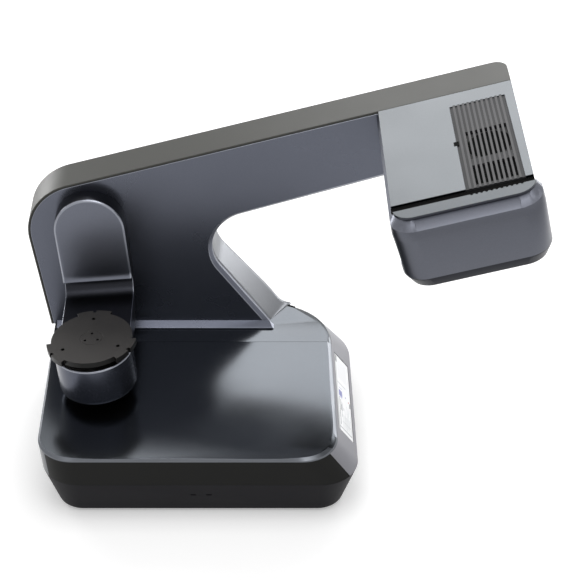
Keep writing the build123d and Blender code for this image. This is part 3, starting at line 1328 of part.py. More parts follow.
os.makedirs("parts", exist_ok=True)
nodes = all_nodes()
box = Compound(children=[Compound(children=list(shape.solids())) for shape in nodes.values()]).bounding_box()
to_origin = Pos(-(box.min.X + box.max.X) / 2, -(box.min.Y + box.max.Y) / 2, 0)
for node_name, node_shape in nodes.items():
    save(node_name, to_origin * node_shape)
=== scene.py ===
"""Dresses the desktop three-dimensional scanner: its soft edges, its finishes, the studio and the camera.

Places are written in millimetres about the middle of the base, as the part's own drawing has them: X to
the right, Y to the back, Z up from the table top. place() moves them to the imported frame, in metres.
"""

import logging  # noqa: E402
import math  # noqa: E402
from dataclasses import dataclass, field  # noqa: E402
from enum import Enum, IntEnum  # noqa: E402
from functools import cache  # noqa: E402

import bmesh  # noqa: E402
import bpy  # noqa: E402
import numpy as np  # noqa: E402
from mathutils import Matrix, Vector  # noqa: E402


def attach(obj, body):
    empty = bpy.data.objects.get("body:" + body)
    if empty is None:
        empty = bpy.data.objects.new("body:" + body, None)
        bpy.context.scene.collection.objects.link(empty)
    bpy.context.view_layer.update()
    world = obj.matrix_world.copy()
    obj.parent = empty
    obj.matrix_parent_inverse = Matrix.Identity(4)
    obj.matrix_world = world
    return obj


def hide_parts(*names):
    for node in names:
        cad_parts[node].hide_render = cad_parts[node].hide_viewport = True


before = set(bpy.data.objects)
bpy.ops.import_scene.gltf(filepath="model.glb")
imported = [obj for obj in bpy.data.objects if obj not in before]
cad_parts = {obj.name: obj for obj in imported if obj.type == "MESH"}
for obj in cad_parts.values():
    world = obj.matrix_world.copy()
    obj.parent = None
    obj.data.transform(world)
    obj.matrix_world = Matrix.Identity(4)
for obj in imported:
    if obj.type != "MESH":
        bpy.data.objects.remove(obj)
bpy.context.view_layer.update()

MM = 0.001
WELD_MM = 0.002
ORIGIN_SHIFT = np.array([-79.670656, 1.25, 0.0])

# The deck, the plane between the arm's two shells, and the corner of the throat as (x, z)
DECK_LEVEL = 86.0
REAR_SHELL_FRONT = 105.2
THROAT = (-15.7, 220.1)
STRUT_SLOPE = math.radians(54.2)

# The swing axis as (x, z), and the bracket's lean at rest
SWING_PIVOT = (-124.3, 233.5)
BRACKET_LEAN = math.radians(5.0)

# The head's axes across, to the back and up, and its top's left end
HEAD_TILT = math.radians(15.47)
TO_BACK = np.array([0.0, 1.0, 0.0])
HEAD_UP = np.array([-math.sin(HEAD_TILT), 0.0, math.cos(HEAD_TILT)])
HEAD_AXES = np.array([(math.cos(HEAD_TILT), 0.0, math.sin(HEAD_TILT)), TO_BACK, HEAD_UP])
HEAD_CORNER = np.array([194.9, 0.0, 374.95])

# Arrays of points or values, and what a node is given
Grid = np.ndarray
Source = bpy.types.Node | bpy.types.NodeSocket
Settings = dict[str | int, object]
Links = dict[str | int, Source]
log = logging.getLogger("scanner")


class Body(Enum):
    """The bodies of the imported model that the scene's own pieces ride on."""

    ROOT = "root"
    STAGE = "swing_stage"
    TABLE = "turntable"


class Zone(IntEnum):
    """The parts of a piece that can have finishes of their own, by material number."""

    FACE = 0
    # SIDE often carries a painted shade, EDGE a painted highlight
    SIDE = 1
    EDGE = 2


def place(points: Grid) -> Grid:
    """Moves points from the drawing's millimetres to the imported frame's metres."""
    return (points + ORIGIN_SHIFT) * MM


def drawn(points: Grid) -> Grid:
    """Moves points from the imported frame's metres back to the drawing's millimetres."""
    return points / MM - ORIGIN_SHIFT


def srgb(text: str) -> tuple[float, float, float, float]:
    """Turns an sRGB hex colour to linear light.

    Args:
        text: The colour as six hex digits.

    Returns:
        Red, green, blue and an alpha of one.
    """
    parts = [int(text[i : i + 2], 16) / 255 for i in (0, 2, 4)]
    linear = [c / 12.92 if c <= 0.04045 else ((c + 0.055) / 1.055) ** 2.4 for c in parts]
    return (*linear, 1.0)


def per_mm(size: float) -> float:
    """The scale of a pattern whose cells are that many millimetres across, on coordinates in metres."""
    return 1000.0 / size


# Finishes

# Where Blender's mix node takes its two colours, and where it gives the mixed one
MIX_LOW, MIX_HIGH, MIXED = 6, 7, 2


def add(
    tree: bpy.types.NodeTree, kind: str, settings: Settings | None = None, links: Links | None = None
) -> bpy.types.Node:
    """Adds a node with its settings and links.

    Args:
        tree: The node tree.
        kind: The node's Blender type.
        settings: Attributes of the node or, where it has none of that name, values of its inputs.
        links: What feeds each input: an output socket, or a node for its first one.

    Returns:
        The new node.
    """
    node = tree.nodes.new(kind)
    for name, value in (settings or {}).items():
        if isinstance(name, str) and hasattr(node, name):
            setattr(node, name, value)
        else:
            node.inputs[name].default_value = value
    for name, source in (links or {}).items():
        socket = source.outputs[0] if isinstance(source, bpy.types.Node) else source
        tree.links.new(socket, node.inputs[name])
    return node


def seen_rays(tree: bpy.types.NodeTree) -> bpy.types.Node:
    """Finds the rays of the camera, mirrors and glass, which see the background as white.

    Args:
        tree: The node tree.

    Returns:
        A node that gives 1 for those rays and 0 for light that falls on things.
    """
    path = add(tree, "ShaderNodeLightPath")
    seen: Source = path.outputs["Is Camera Ray"]
    for ray in ("Is Glossy Ray", "Is Transmission Ray"):
        seen = add(tree, "ShaderNodeMath", {"operation": "MAXIMUM"}, {0: seen, 1: path.outputs[ray]})
    return seen


@dataclass
class Paintbox:
    """A material under construction.

    Attributes:
        name: The material's name, the real material and how it is worked.
        material: The material itself.
        coordinates: The coordinates of the piece that it lies on.
        place: Those that the patterns follow, the piece's own axes in metres.
    """

    name: str
    material: bpy.types.Material = field(init=False)
    coordinates: bpy.types.Node = field(init=False)
    place: Source = field(init=False)

    def __post_init__(self) -> None:
        """Makes the material with an empty tree and the piece's own coordinates."""
        self.material = bpy.data.materials.new(self.name)
        self.material.use_nodes = True
        self.material.node_tree.nodes.clear()
        self.coordinates = self.add("ShaderNodeTexCoord")
        self.place = self.coordinates.outputs["Object"]

    def add(self, kind: str, settings: Settings | None = None, links: Links | None = None) -> bpy.types.Node:
        """Adds a node to the material."""
        return add(self.material.node_tree, kind, settings, links)

    def close(
        self,
        settings: Settings,
        colour: Source,
        marks: Source,
        rough: tuple[float, float],
        relief: tuple[Source, float] | None = None,
        span: tuple[float, float] = (0.3, 0.7),
    ) -> bpy.types.Material:
        """Ends the material with its surface shader. A lit one shines in its own colour.

        Args:
            settings: Fixed values of the shader.
            colour: Its colour.
            marks: The pattern that moves its roughness.
            rough: The roughness at the ends of the pattern's span.
            relief: A height from 0 to 1, and the millimetres that it stands for.
            span: The part of the pattern that counts.

        Returns:
            The finished material.
        """
        ends = {"From Min": span[0], "From Max": span[1], "To Min": rough[0], "To Max": rough[1]}
        links = {"Base Color": colour, "Roughness": self.add("ShaderNodeMapRange", ends, {"Value": marks})}
        if "Emission Strength" in settings:
            links["Emission Color"] = colour
        if relief:
            links["Normal"] = self.add("ShaderNodeBump", {"Distance": relief[1] * MM}, {"Height": relief[0]})
        shader = self.add("ShaderNodeBsdfPrincipled", settings, links)
        self.add("ShaderNodeOutputMaterial", links={"Surface": shader})
        return self.material


class Finish:
    """What a surface is made of.

    Attributes:
        name: The material's name.
    """

    name: str

    def make(self) -> bpy.types.Material:
        """Builds the material."""
        raise NotImplementedError


@cache
def material_of(finish: Finish) -> bpy.types.Material:
    """Gives a finish's material, built the first time that it is asked for."""
    return finish.make()


@dataclass(frozen=True)
class Sprayed(Finish):
    """Metallic paint: aluminium flakes in a tinted lacquer, with the faint ripple that a spray gun leaves.

    Attributes:
        name: The material's name.
        tone: Hex colour of the paint.
        flake: Hex colour of the brightest flakes.
        roughness: The mean roughness.
        metallic: How much of the light the flakes give.
        flake_mm: The size of a flake, drawn about ten times too coarse, because a real one wouldn't show.
        bright: The part of the flakes' own tones that counts as bright.
        sparkle: How far the brightest flakes leave the paint's colour.
        ripple_mm: The length of the ripple.
        ripple_height_mm: The height of the ripple.
        cloud_mm: The size of the clouds where the paint lies thicker.
        spread: How far the roughness moves between those clouds.
    """

    name: str
    tone: str
    flake: str
    roughness: float
    metallic: float = 1.0
    flake_mm: float = 0.35
    bright: tuple[float, float] = (0.55, 1.0)
    sparkle: float = 0.35
    ripple_mm: float = 2.2
    ripple_height_mm: float = 0.004
    cloud_mm: float = 60.0
    spread: float = 0.02

    def make(self) -> bpy.types.Material:
        """Builds the paint: flakes as small cells, each with its own brightness, under a soft ripple.

        Returns:
            The paint.
        """
        box = Paintbox(self.name)
        cells = box.add("ShaderNodeTexVoronoi", {"Scale": per_mm(self.flake_mm)}, {"Vector": box.place})
        ends = {"From Min": self.bright[0], "From Max": self.bright[1], "To Max": self.sparkle}
        flakes = box.add("ShaderNodeMapRange", ends, {"Value": cells.outputs["Color"]})
        tones = {"data_type": "RGBA", MIX_LOW: srgb(self.tone), MIX_HIGH: srgb(self.flake)}
        colour = box.add("ShaderNodeMix", tones, {"Factor": flakes}).outputs[MIXED]
        cloud = box.add("ShaderNodeTexNoise", {"Scale": per_mm(self.cloud_mm)}, {"Vector": box.place})
        ripple = box.add("ShaderNodeTexNoise", {"Scale": per_mm(self.ripple_mm)}, {"Vector": box.place})
        rough = (self.roughness - self.spread, self.roughness + self.spread)
        return box.close({"Metallic": self.metallic}, colour, cloud, rough, (ripple, self.ripple_height_mm))


@dataclass(frozen=True)
class Grained(Finish):
    """A material with a fine grain in its surface, and larger, faint clouds in its colour and gloss.

    Attributes:
        name: The material's name.
        dark: Hex colour of the darker clouds.
        light: Hex colour of the lighter clouds.
        roughness: The mean roughness.
        grain_mm: The size of the grain.
        relief_mm: Its height.
        metallic: How much of the light metal or its pigment gives.
        shine: How much of the plain reflection the grain leaves.
        spread: How far the roughness moves.
        stretch: How much longer the grain is along X.
        cloud_mm: The size of the clouds.
        detail: How many finer layers the grain has.
        share: How much of the pattern is grain, the rest being clouds.
    """

    name: str
    dark: str
    light: str
    roughness: float
    grain_mm: float = 0.5
    relief_mm: float = 0.012
    metallic: float = 0.0
    shine: float = 0.5
    spread: float = 0.04
    stretch: float = 1.0
    cloud_mm: float = 45.0
    detail: float = 3.0
    share: float = 0.45

    def make(self) -> bpy.types.Material:
        """Builds the material: its colour and roughness follow both the clouds and the grain.

        Returns:
            The material.
        """
        box = Paintbox(self.name)
        if self.stretch != 1.0:
            scale = (1.0 / self.stretch, 1.0, 1.0)
            box.place = box.add("ShaderNodeMapping", {"Scale": scale}, {"Vector": box.place})
        size = {"Scale": per_mm(self.grain_mm), "Detail": self.detail}
        grain = box.add("ShaderNodeTexNoise", size, {"Vector": box.place})
        cloud = box.add("ShaderNodeTexNoise", {"Scale": per_mm(self.cloud_mm)}, {"Vector": box.place})
        both = box.add("ShaderNodeMix", {"data_type": "FLOAT", "Factor": self.share}, {2: cloud, 3: grain})
        tones = {"data_type": "RGBA", MIX_LOW: srgb(self.dark), MIX_HIGH: srgb(self.light)}
        colour = box.add("ShaderNodeMix", tones, {"Factor": both}).outputs[MIXED]
        rough = (self.roughness - self.spread, self.roughness + self.spread)
        settings = {"Metallic": self.metallic, "Specular IOR Level": self.shine}
        return box.close(settings, colour, both, rough, (grain, self.relief_mm))


@dataclass(frozen=True)
class Moulded(Grained):
    """Moulded plastic or rubber: a tool-eroded grain of fine pits, and clouds where it cooled unevenly."""


@dataclass(frozen=True)
class Metal(Grained):
    """Bare, anodised or cast metal: a blasted or ground surface with brighter high spots.

    Its clouds are what handling and heat leave, and its grain is long where it was ground. The fields are
    those of Grained, with a metal's values.
    """

    grain_mm: float = 0.4
    relief_mm: float = 0.006
    metallic: float = 1.0
    spread: float = 0.06
    cloud_mm: float = 18.0
    detail: float = 4.0
    share: float = 0.6


@dataclass(frozen=True)
class Glass(Finish):
    """Filter or lens glass, seen as a dark, smooth, coated surface with a faint coloured bloom.

    Attributes:
        name: The material's name.
        dark: Hex colour of the glass.
        bloom: Hex colour of the coating's bloom.
        turn: How far the bloom reaches in from the rim of a round surface.
        smear_mm: The size of the faint smears.
        rough: The roughness between the smears and on them.
    """

    name: str
    dark: str
    bloom: str
    turn: float = 0.4
    smear_mm: float = 14.0
    rough: tuple[float, float] = (0.04, 0.11)

    def make(self) -> bpy.types.Material:
        """Builds the glass: the bloom shows more where the surface turns away.

        Returns:
            The glass.
        """
        box = Paintbox(self.name)
        turned = box.add("ShaderNodeLayerWeight", {"Blend": self.turn}).outputs["Facing"]
        tones = {"data_type": "RGBA", MIX_LOW: srgb(self.dark), MIX_HIGH: srgb(self.bloom)}
        colour = box.add("ShaderNodeMix", tones, {"Factor": turned}).outputs[MIXED]
        size = {"Scale": per_mm(self.smear_mm), "Detail": 4.0}
        smear = box.add("ShaderNodeTexNoise", size, {"Vector": box.place})
        coat = {"Coat Weight": 0.6, "Coat Roughness": 0.03}
        return box.close(coat, colour, smear, self.rough, span=(0.4, 0.8))


@dataclass(frozen=True)
class Board(Finish):
    """A fibreglass circuit board: green mask over copper runs that show as slightly lighter, raised lines.

    Attributes:
        name: The material's name.
        mask: Hex colour of the mask.
        copper: Hex colour of the mask over copper.
        run_mm: The spacing of the copper runs.
        edge: The parts of that spacing where a run's top ends and where its flank ends.
        relief_mm: The height of the runs.
        cloud_mm: The size of the clouds in the mask's gloss.
        rough: The roughness at the ends of those clouds.
    """

    name: str
    mask: str
    copper: str
    run_mm: float = 3.0
    edge: tuple[float, float] = (0.06, 0.1)
    relief_mm: float = 0.03
    cloud_mm: float = 8.0
    rough: tuple[float, float] = (0.3, 0.45)

    def make(self) -> bpy.types.Material:
        """Builds the board from cells whose borders are the copper runs.

        Returns:
            The board's material.
        """
        box = Paintbox(self.name)
        settings = {"feature": "DISTANCE_TO_EDGE", "Scale": per_mm(self.run_mm)}
        cells = box.add("ShaderNodeTexVoronoi", settings, {"Vector": box.place})
        ends = {"From Min": self.edge[0], "From Max": self.edge[1], "To Min": 1.0, "To Max": 0.0}
        runs = box.add("ShaderNodeMapRange", ends, {"Value": cells.outputs["Distance"]})
        tones = {"data_type": "RGBA", MIX_LOW: srgb(self.mask), MIX_HIGH: srgb(self.copper)}
        colour = box.add("ShaderNodeMix", tones, {"Factor": runs}).outputs[MIXED]
        cloud = box.add("ShaderNodeTexNoise", {"Scale": per_mm(self.cloud_mm)}, {"Vector": box.place})
        return box.close({"Coat Weight": 0.3}, colour, cloud, self.rough, (runs, self.relief_mm))


@dataclass(frozen=True)
class Picture(Finish):
    """The lit display: a white page with plain blocks and lines, drawn on the piece's own UV map.

    Attributes:
        name: The material's name.
        page: Hex colour of the page.
        blocks: Each block as (left, right, low, high, hex colour), in parts of the page.
        glow: How strongly the page shines.
        smear_mm: The size of the finger marks.
        rough: The roughness between the marks and on them.
    """

    name: str
    page: str
    blocks: tuple[tuple[float, float, float, float, str], ...]
    glow: float = 0.12
    smear_mm: float = 9.0
    rough: tuple[float, float] = (0.1, 0.18)

    def make(self) -> bpy.types.Material:
        """Builds the page, one block after another.

        Returns:
            The display's material.
        """
        box = Paintbox(self.name)
        axes = box.add("ShaderNodeSeparateXYZ", links={0: box.coordinates.outputs["UV"]})
        colour: Source | None = None
        for left, right, low, high, tone in self.blocks:
            inside = []
            for socket, start, end in ((axes.outputs[0], left, right), (axes.outputs[1], low, high)):
                middle = {"operation": "COMPARE", 1: (start + end) / 2, 2: (end - start) / 2}
                inside.append(box.add("ShaderNodeMath", middle, {0: socket}))
            mask = box.add("ShaderNodeMath", {"operation": "MULTIPLY"}, {0: inside[0], 1: inside[1]})
            tones = {"data_type": "RGBA", MIX_LOW: srgb(self.page), MIX_HIGH: srgb(tone)}
            under = {MIX_LOW: colour} if colour else {}
            colour = box.add("ShaderNodeMix", tones, {"Factor": mask, **under}).outputs[MIXED]
        size = {"Scale": per_mm(self.smear_mm), "Detail": 4.0}
        smear = box.add("ShaderNodeTexNoise", size, {"Vector": box.place})
        painted_light = {"Emission Strength": self.glow, "Coat Weight": 0.5, "Coat Roughness": 0.08}
        return box.close(painted_light, colour, smear, self.rough, span=(0.4, 0.8))


# Sprayed metallic paint on moulded casings: soft, slightly stretched reflections with a fine sparkle
DECK_PAINT = Sprayed("metallic_paint_on_the_deck", "4d5054", "5d6166", 0.2)
ARM_PAINT = Sprayed("metallic_paint_on_the_arm", "5f626c", "747782", 0.28)
BRACKET_PAINT = Sprayed("metallic_paint_on_the_bracket", "6b6e78", "80838e", 0.35)
HOOD_PAINT = Sprayed("metallic_paint_on_the_hood", "5e6068", "73767e", 0.33)
# The same paint in a neutral tone and a duller coat: surfaces that hold few reflections. In the throat it is
# a lighter copy of the deck's paint on the same shell: painted light.
THROAT_LIGHTENED_PAINT = Sprayed("deck_paint_lightened_as_painted_light_in_the_throat", "787a7e", "8c8e91", 0.36)
TOP_PAINT = Sprayed("light_metallic_paint_on_the_head", "55585b", "65686b", 0.34, 0.9)
LIP_PAINT = Sprayed("metallic_paint_on_the_lip", "45484b", "54575a", 0.32, 0.95)
# The same paint lightened on broken edges and the deck's rim: a painted highlight, a bright line round the
# faces
HIGHLIGHT_PAINT = Sprayed("metallic_paint_lightened_as_painted_highlight_on_the_edges", "8b8e97", "a2a5ae", 0.3)
RIM_HIGHLIGHT_PAINT = Sprayed("metallic_paint_lightened_as_painted_highlight_on_the_rim", "64676c", "767980", 0.3)
# The same paint darkened to nearly black: painted shade on flanks, undersides and the groove's walls
SHADE_PAINT = Sprayed("metallic_paint_darkened_as_painted_shade", "2a2b30", "36373c", 0.34)
# Moulded polycarbonate and ABS with a fine eroded grain: an even, dull surface with faint clouds
BAND = Moulded("moulded_polycarbonate_band", "42423f", "4a4a47", 0.45, shine=0.22)
WALL = Moulded("moulded_plastic_front_wall", "171716", "1d1d1c", 0.45, shine=0.14)
TRAY = Moulded("moulded_plastic_tray", "121115", "18171c", 0.5, shine=0.1)
GRILLE = Moulded("moulded_plastic_grille", "3a3a3c", "444446", 0.5, shine=0.3)
# The grille's plastic darkened between the ribs: painted shade
VALLEY_SHADE = Moulded("grille_plastic_darkened_as_painted_shade_between_the_ribs", "2b2b2d", "333335", 0.6, shine=0.25)
BLACK_PLASTIC = Moulded("black_moulded_plastic", "101010", "171717", 0.45, shine=0.3)
FAN_PLASTIC = Moulded("glass_filled_fan_plastic", "0c0c0c", "151515", 0.55, shine=0.2)
# Plastic with a silver paint: a pale, satin frame round the display
BEZEL = Moulded("painted_plastic_bezel", "84848a", "909096", 0.42, 0.5, 0.006, 0.35)
# Black with no reflection to speak of: sheets and a block of painted shade in the head's openings, and rubber
SHADE_BLACK = Moulded("black_sheet_as_painted_shade", "060606", "0c0c0c", 0.9, 0.6, 0.06, shine=0.1)
RUBBER = Moulded("moulded_rubber_foot", "151515", "1d1d1d", 0.8, 0.7, 0.03)
# Hard-anodised aluminium: a warm, dark, even grain that greys towards the light
PLATE = Metal("hard_anodised_aluminium_plate", "2c2a29", "363432", 0.45, 0.6, 0.008, 0.5, spread=0.05)
# The same black metal also stands as painted shade on the turntable plate's sides
BLACK_METAL_AND_SHADE = Metal("black_anodised_aluminium_and_painted_shade", "141414", "202020", 0.35, 0.5, 0.004, 0.7, spread=0.05)
# Satin paint on turned aluminium: upright streaks of light round the cup
CUP = Metal("satin_painted_aluminium_cup", "4f525c", "5b5e69", 0.26, 0.7, 0.003, spread=0.03)
# Bare metal: coarse and pale where cast, brushed where ground, nearly black on the screws
CAST = Metal("sand_cast_aluminium", "a8a8a8", "c4c4c4", 0.42, 0.9, 0.03, spread=0.08)
STEEL = Metal("ground_steel", "a8a8a8", "bcbcbc", 0.28, 0.5, 0.004, stretch=12.0)
SCREW_STEEL = Metal("blackened_screw_steel", "2a2a2a", "383838", 0.3, 0.3, 0.004, 0.9, spread=0.05)
# Epoxy and glass fibre under a solder mask: glossy green with lighter raised runs
BOARD = Board("fibreglass_circuit_board", "0e3a20", "1d5a33")
# Coated glass: almost black, mirror-smooth, with a bloom where it turns away
DARK_GLASS = Glass("dark_filter_glass", "050507", "15121f")
SCREEN_EDGE = Glass("black_glass_around_the_display", "0a0a0b", "16161a")
# The lit page behind glass, with blocks as (left, right, low, high, colour): white, with small plain marks
DISPLAY = Picture(
    "lit_display_with_plain_blocks",
    "f8f9fb",
    (
        (0.00, 1.00, 0.90, 1.00, "c9cbcd"),
        (0.46, 0.54, 0.60, 0.84, "6a70b4"),
        (0.44, 0.455, 0.62, 0.82, "a9acd6"),
        (0.56, 0.575, 0.62, 0.82, "c3c5de"),
        (0.475, 0.49, 0.10, 0.17, "c0504a"),
        (0.50, 0.515, 0.32, 0.38, "8a8fc0"),
        (0.28, 0.42, 0.72, 0.76, "9b9da2"),
        (0.28, 0.39, 0.64, 0.68, "b3b5ba"),
        (0.30, 0.34, 0.54, 0.58, "c4c6ca"),
        (0.06, 0.24, 0.10, 0.70, "eceef0"),
        (0.06, 0.24, 0.38, 0.40, "d2d4d8"),
        (0.14, 0.15, 0.10, 0.70, "d2d4d8"),
        (0.70, 0.95, 0.20, 0.80, "f1f2f5"),
        (0.04, 0.055, 0.06, 0.94, "b9bbc0"),
        (0.08, 0.44, 0.80, 0.84, "8d9095"),
        (0.20, 0.36, 0.68, 0.71, "a5a8ad"),
        (0.04, 0.42, 0.05, 0.08, "c2c5c9"),
        (0.10, 0.40, 0.20, 0.22, "c9ccd0"),
        (0.10, 0.40, 0.30, 0.32, "c9ccd0"),
        (0.10, 0.34, 0.46, 0.48, "c9ccd0"),
        (0.62, 0.64, 0.30, 0.90, "dadce0"),
        (0.90, 0.99, 0.84, 0.98, "85888c"),
        (0.42, 0.48, 0.02, 0.10, "6d7076"),
    ),
)


# Making pieces


def bare(name: str, vertices: Grid, faces: Grid | list) -> bpy.types.Object:
    """Puts vertices and faces into a new object at the origin.

    Args:
        name: The piece's name.
        vertices: Points in metres, one row each.
        faces: Rows of vertex numbers.

    Returns:
        The object, linked to the scene.
    """
    mesh = bpy.data.meshes.new(name)
    mesh.from_pydata(vertices.tolist(), [], faces.tolist() if isinstance(faces, np.ndarray) else faces)
    thing = bpy.data.objects.new(name, mesh)
    bpy.context.scene.collection.objects.link(thing)
    return thing


def surface(name: str, points: Grid, wrap: bool = False) -> bpy.types.Object:
    """Makes a sheet from a grid of points: the point at row i, column j joins its neighbours.

    Args:
        name: The piece's name.
        points: The points in the drawing's millimetres, shape (rows, columns, 3).
        wrap: True where the last column joins the first.

    Returns:
        The smooth-shaded sheet.
    """
    rows, columns = points.shape[:2]
    index = np.arange(rows * columns).reshape(rows, columns)
    if wrap:
        index = np.concatenate([index, index[:, :1]], axis=1)
    quads = np.stack([index[:-1, :-1], index[:-1, 1:], index[1:, 1:], index[1:, :-1]], axis=-1).reshape(-1, 4)
    thing = bare(name, place(points.reshape(-1, 3)), quads)
    thing.data.shade_smooth()
    return thing


def read(items: bpy.types.bpy_prop_collection, name: str, width: int = 1, kind: type = float) -> Grid:
    """Reads one value of every element of a mesh.

    Args:
        items: The elements, such as the mesh's vertices.
        name: The value's name.
        width: How many numbers it has.
        kind: What numbers they are.

    Returns:
        The values, one row each.
    """
    values = np.empty(len(items) * width, dtype=kind)
    items.foreach_get(name, values)
    return values.reshape(-1, width)


def dress(thing: bpy.types.Object, *finishes: Finish) -> None:
    """Gives a piece its finishes, and the last of them to any higher material number.

    Args:
        thing: The piece.
        finishes: Its finishes, in the order of its material numbers.
    """
    numbers = read(thing.data.polygons, "material_index", kind=np.int32).ravel()
    thing.data.materials.clear()
    for finish in finishes:
        thing.data.materials.append(material_of(finish))
    thing.data.polygons.foreach_set("material_index", np.minimum(numbers, len(finishes) - 1))
    log.info("%s: %s", thing.name, finishes[0].name)


def mount(thing: bpy.types.Object, body: Body, *finishes: Finish) -> None:
    """Dresses a new piece and lets it ride on its body.

    Args:
        thing: The piece.
        body: The body that it moves with.
        finishes: Its finishes, in the order of its material numbers.
    """
    dress(thing, *finishes)
    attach(thing, body.value)


def welded(node: str) -> tuple[Grid, Grid]:
    """Reads a CAD node's loose triangles and merges their doubled points.

    Args:
        node: The node's name.

    Returns:
        Points in the drawing's millimetres, and triangles as rows of point numbers.
    """
    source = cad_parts[node].data.copy()
    shape = bmesh.new()
    shape.from_mesh(source)
    bmesh.ops.remove_doubles(shape, verts=shape.verts, dist=WELD_MM * MM)
    shape.to_mesh(source)
    shape.free()
    corners = read(source.loops, "vertex_index", kind=np.int32).reshape(-1, 3)
    return drawn(read(source.vertices, "co", 3)), corners


def join_faces(mesh: bpy.types.Mesh, merge: float) -> None:
    """Joins neighbouring triangles that lie in one plane to whole faces.

    Args:
        mesh: The mesh.
        merge: The most by which two neighbours may differ, in degrees.
    """
    shape = bmesh.new()
    shape.from_mesh(mesh)
    bmesh.ops.dissolve_degenerate(shape, edges=shape.edges, dist=WELD_MM * MM)
    bmesh.ops.dissolve_limit(
        shape,
        angle_limit=math.radians(merge),
        verts=shape.verts,
        edges=shape.edges,
        use_dissolve_boundaries=False,
    )
    shape.to_mesh(mesh)
    shape.free()


@dataclass(frozen=True)
class Soft:
    """A CAD node whose sharp edges are broken, as moulding and painting leave them.

    Attributes:
        node: The CAD node.
        width: The width of the broken edge in millimetres.
        segments: How many facets round it.
        angle: Only edges sharper than this many degrees are broken.
        edge: The finish of the broken edges, where it differs.
        side: The finish of the faces that turn away from the axis, where it differs.
        axis: The direction that the main faces look in.
        turn: How squarely a face has to look along the axis to count as a main face.
        merge: Neighbouring triangles that differ by less than this many degrees become one face.
    """

    node: str
    width: float
    segments: int = 3
    angle: float = 28.0
    edge: Finish | None = None
    side: Finish | None = None
    axis: tuple[float, float, float] = (0.0, 0.0, 1.0)
    turn: float = 0.6
    merge: float = 0.4

    def reshape(self, points: Grid, faces: Grid) -> tuple[Grid, Grid]:
        """Changes the merged mesh's points, in the drawing's millimetres, and its triangles."""
        return points, faces

    def round(self, thing: bpy.types.Object) -> None:
        """Adds the modifier that breaks the edges, with normals that keep the faces between them flat.

        Args:
            thing: The piece.
        """
        rounding = thing.modifiers.new("broken_edge", "BEVEL")
        rounding.material = Zone.EDGE
        rounding.width = self.width * MM
        rounding.segments = self.segments
        rounding.limit_method = "ANGLE"
        rounding.angle_limit = math.radians(self.angle)
        rounding.miter_outer = "MITER_ARC"
        rounding.use_clamp_overlap = True
        rounding.harden_normals = True

    def aside(self, centres: Grid, normals: Grid) -> Grid:
        """Tells which faces get the side's finish, from their centres in the drawing and their normals."""
        return np.abs(normals @ np.array(self.axis)) < self.turn

    def build(self, body: Body, finish: Finish) -> None:
        """Builds the piece that stands for the node, from the node's mesh with its triangles joined.

        Args:
            body: The body that the piece rides on.
            finish: Its finish.
        """
        points, faces = self.reshape(*welded(self.node))
        thing = bare(self.node + "_soft", place(points), faces)
        mesh = thing.data
        if self.width:
            join_faces(mesh, self.merge)
            mesh.shade_smooth()
            self.round(thing)
        else:
            mesh.shade_flat()
        centres, normals = (read(mesh.polygons, name, 3) for name in ("center", "normal"))
        turned = self.aside(drawn(centres), normals)
        mesh.polygons.foreach_set("material_index", np.where(turned, Zone.SIDE, Zone.FACE))
        mount(thing, body, finish, self.side or finish, self.edge or finish)
        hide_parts(self.node)


@dataclass(frozen=True)
class Bracket(Soft):
    """The bracket, whose flanks and the part under its ledge are painted dark as shade.

    Attributes:
        ledge: The ledge's level from the pivot.
    """

    ledge: float = -67.1

    def aside(self, centres: Grid, normals: Grid) -> Grid:
        """Picks the flanks, and everything below the ledge, for the painted shade.

        Args:
            centres: The faces' centres in the drawing.
            normals: Their normals.

        Returns:
            True for each face that gets the side's finish.
        """
        across, up = centres[:, 0] - SWING_PIVOT[0], centres[:, 2] - SWING_PIVOT[1]
        level = up * math.cos(BRACKET_LEAN) - across * math.sin(BRACKET_LEAN)
        return super().aside(centres, normals) | (level < self.ledge)


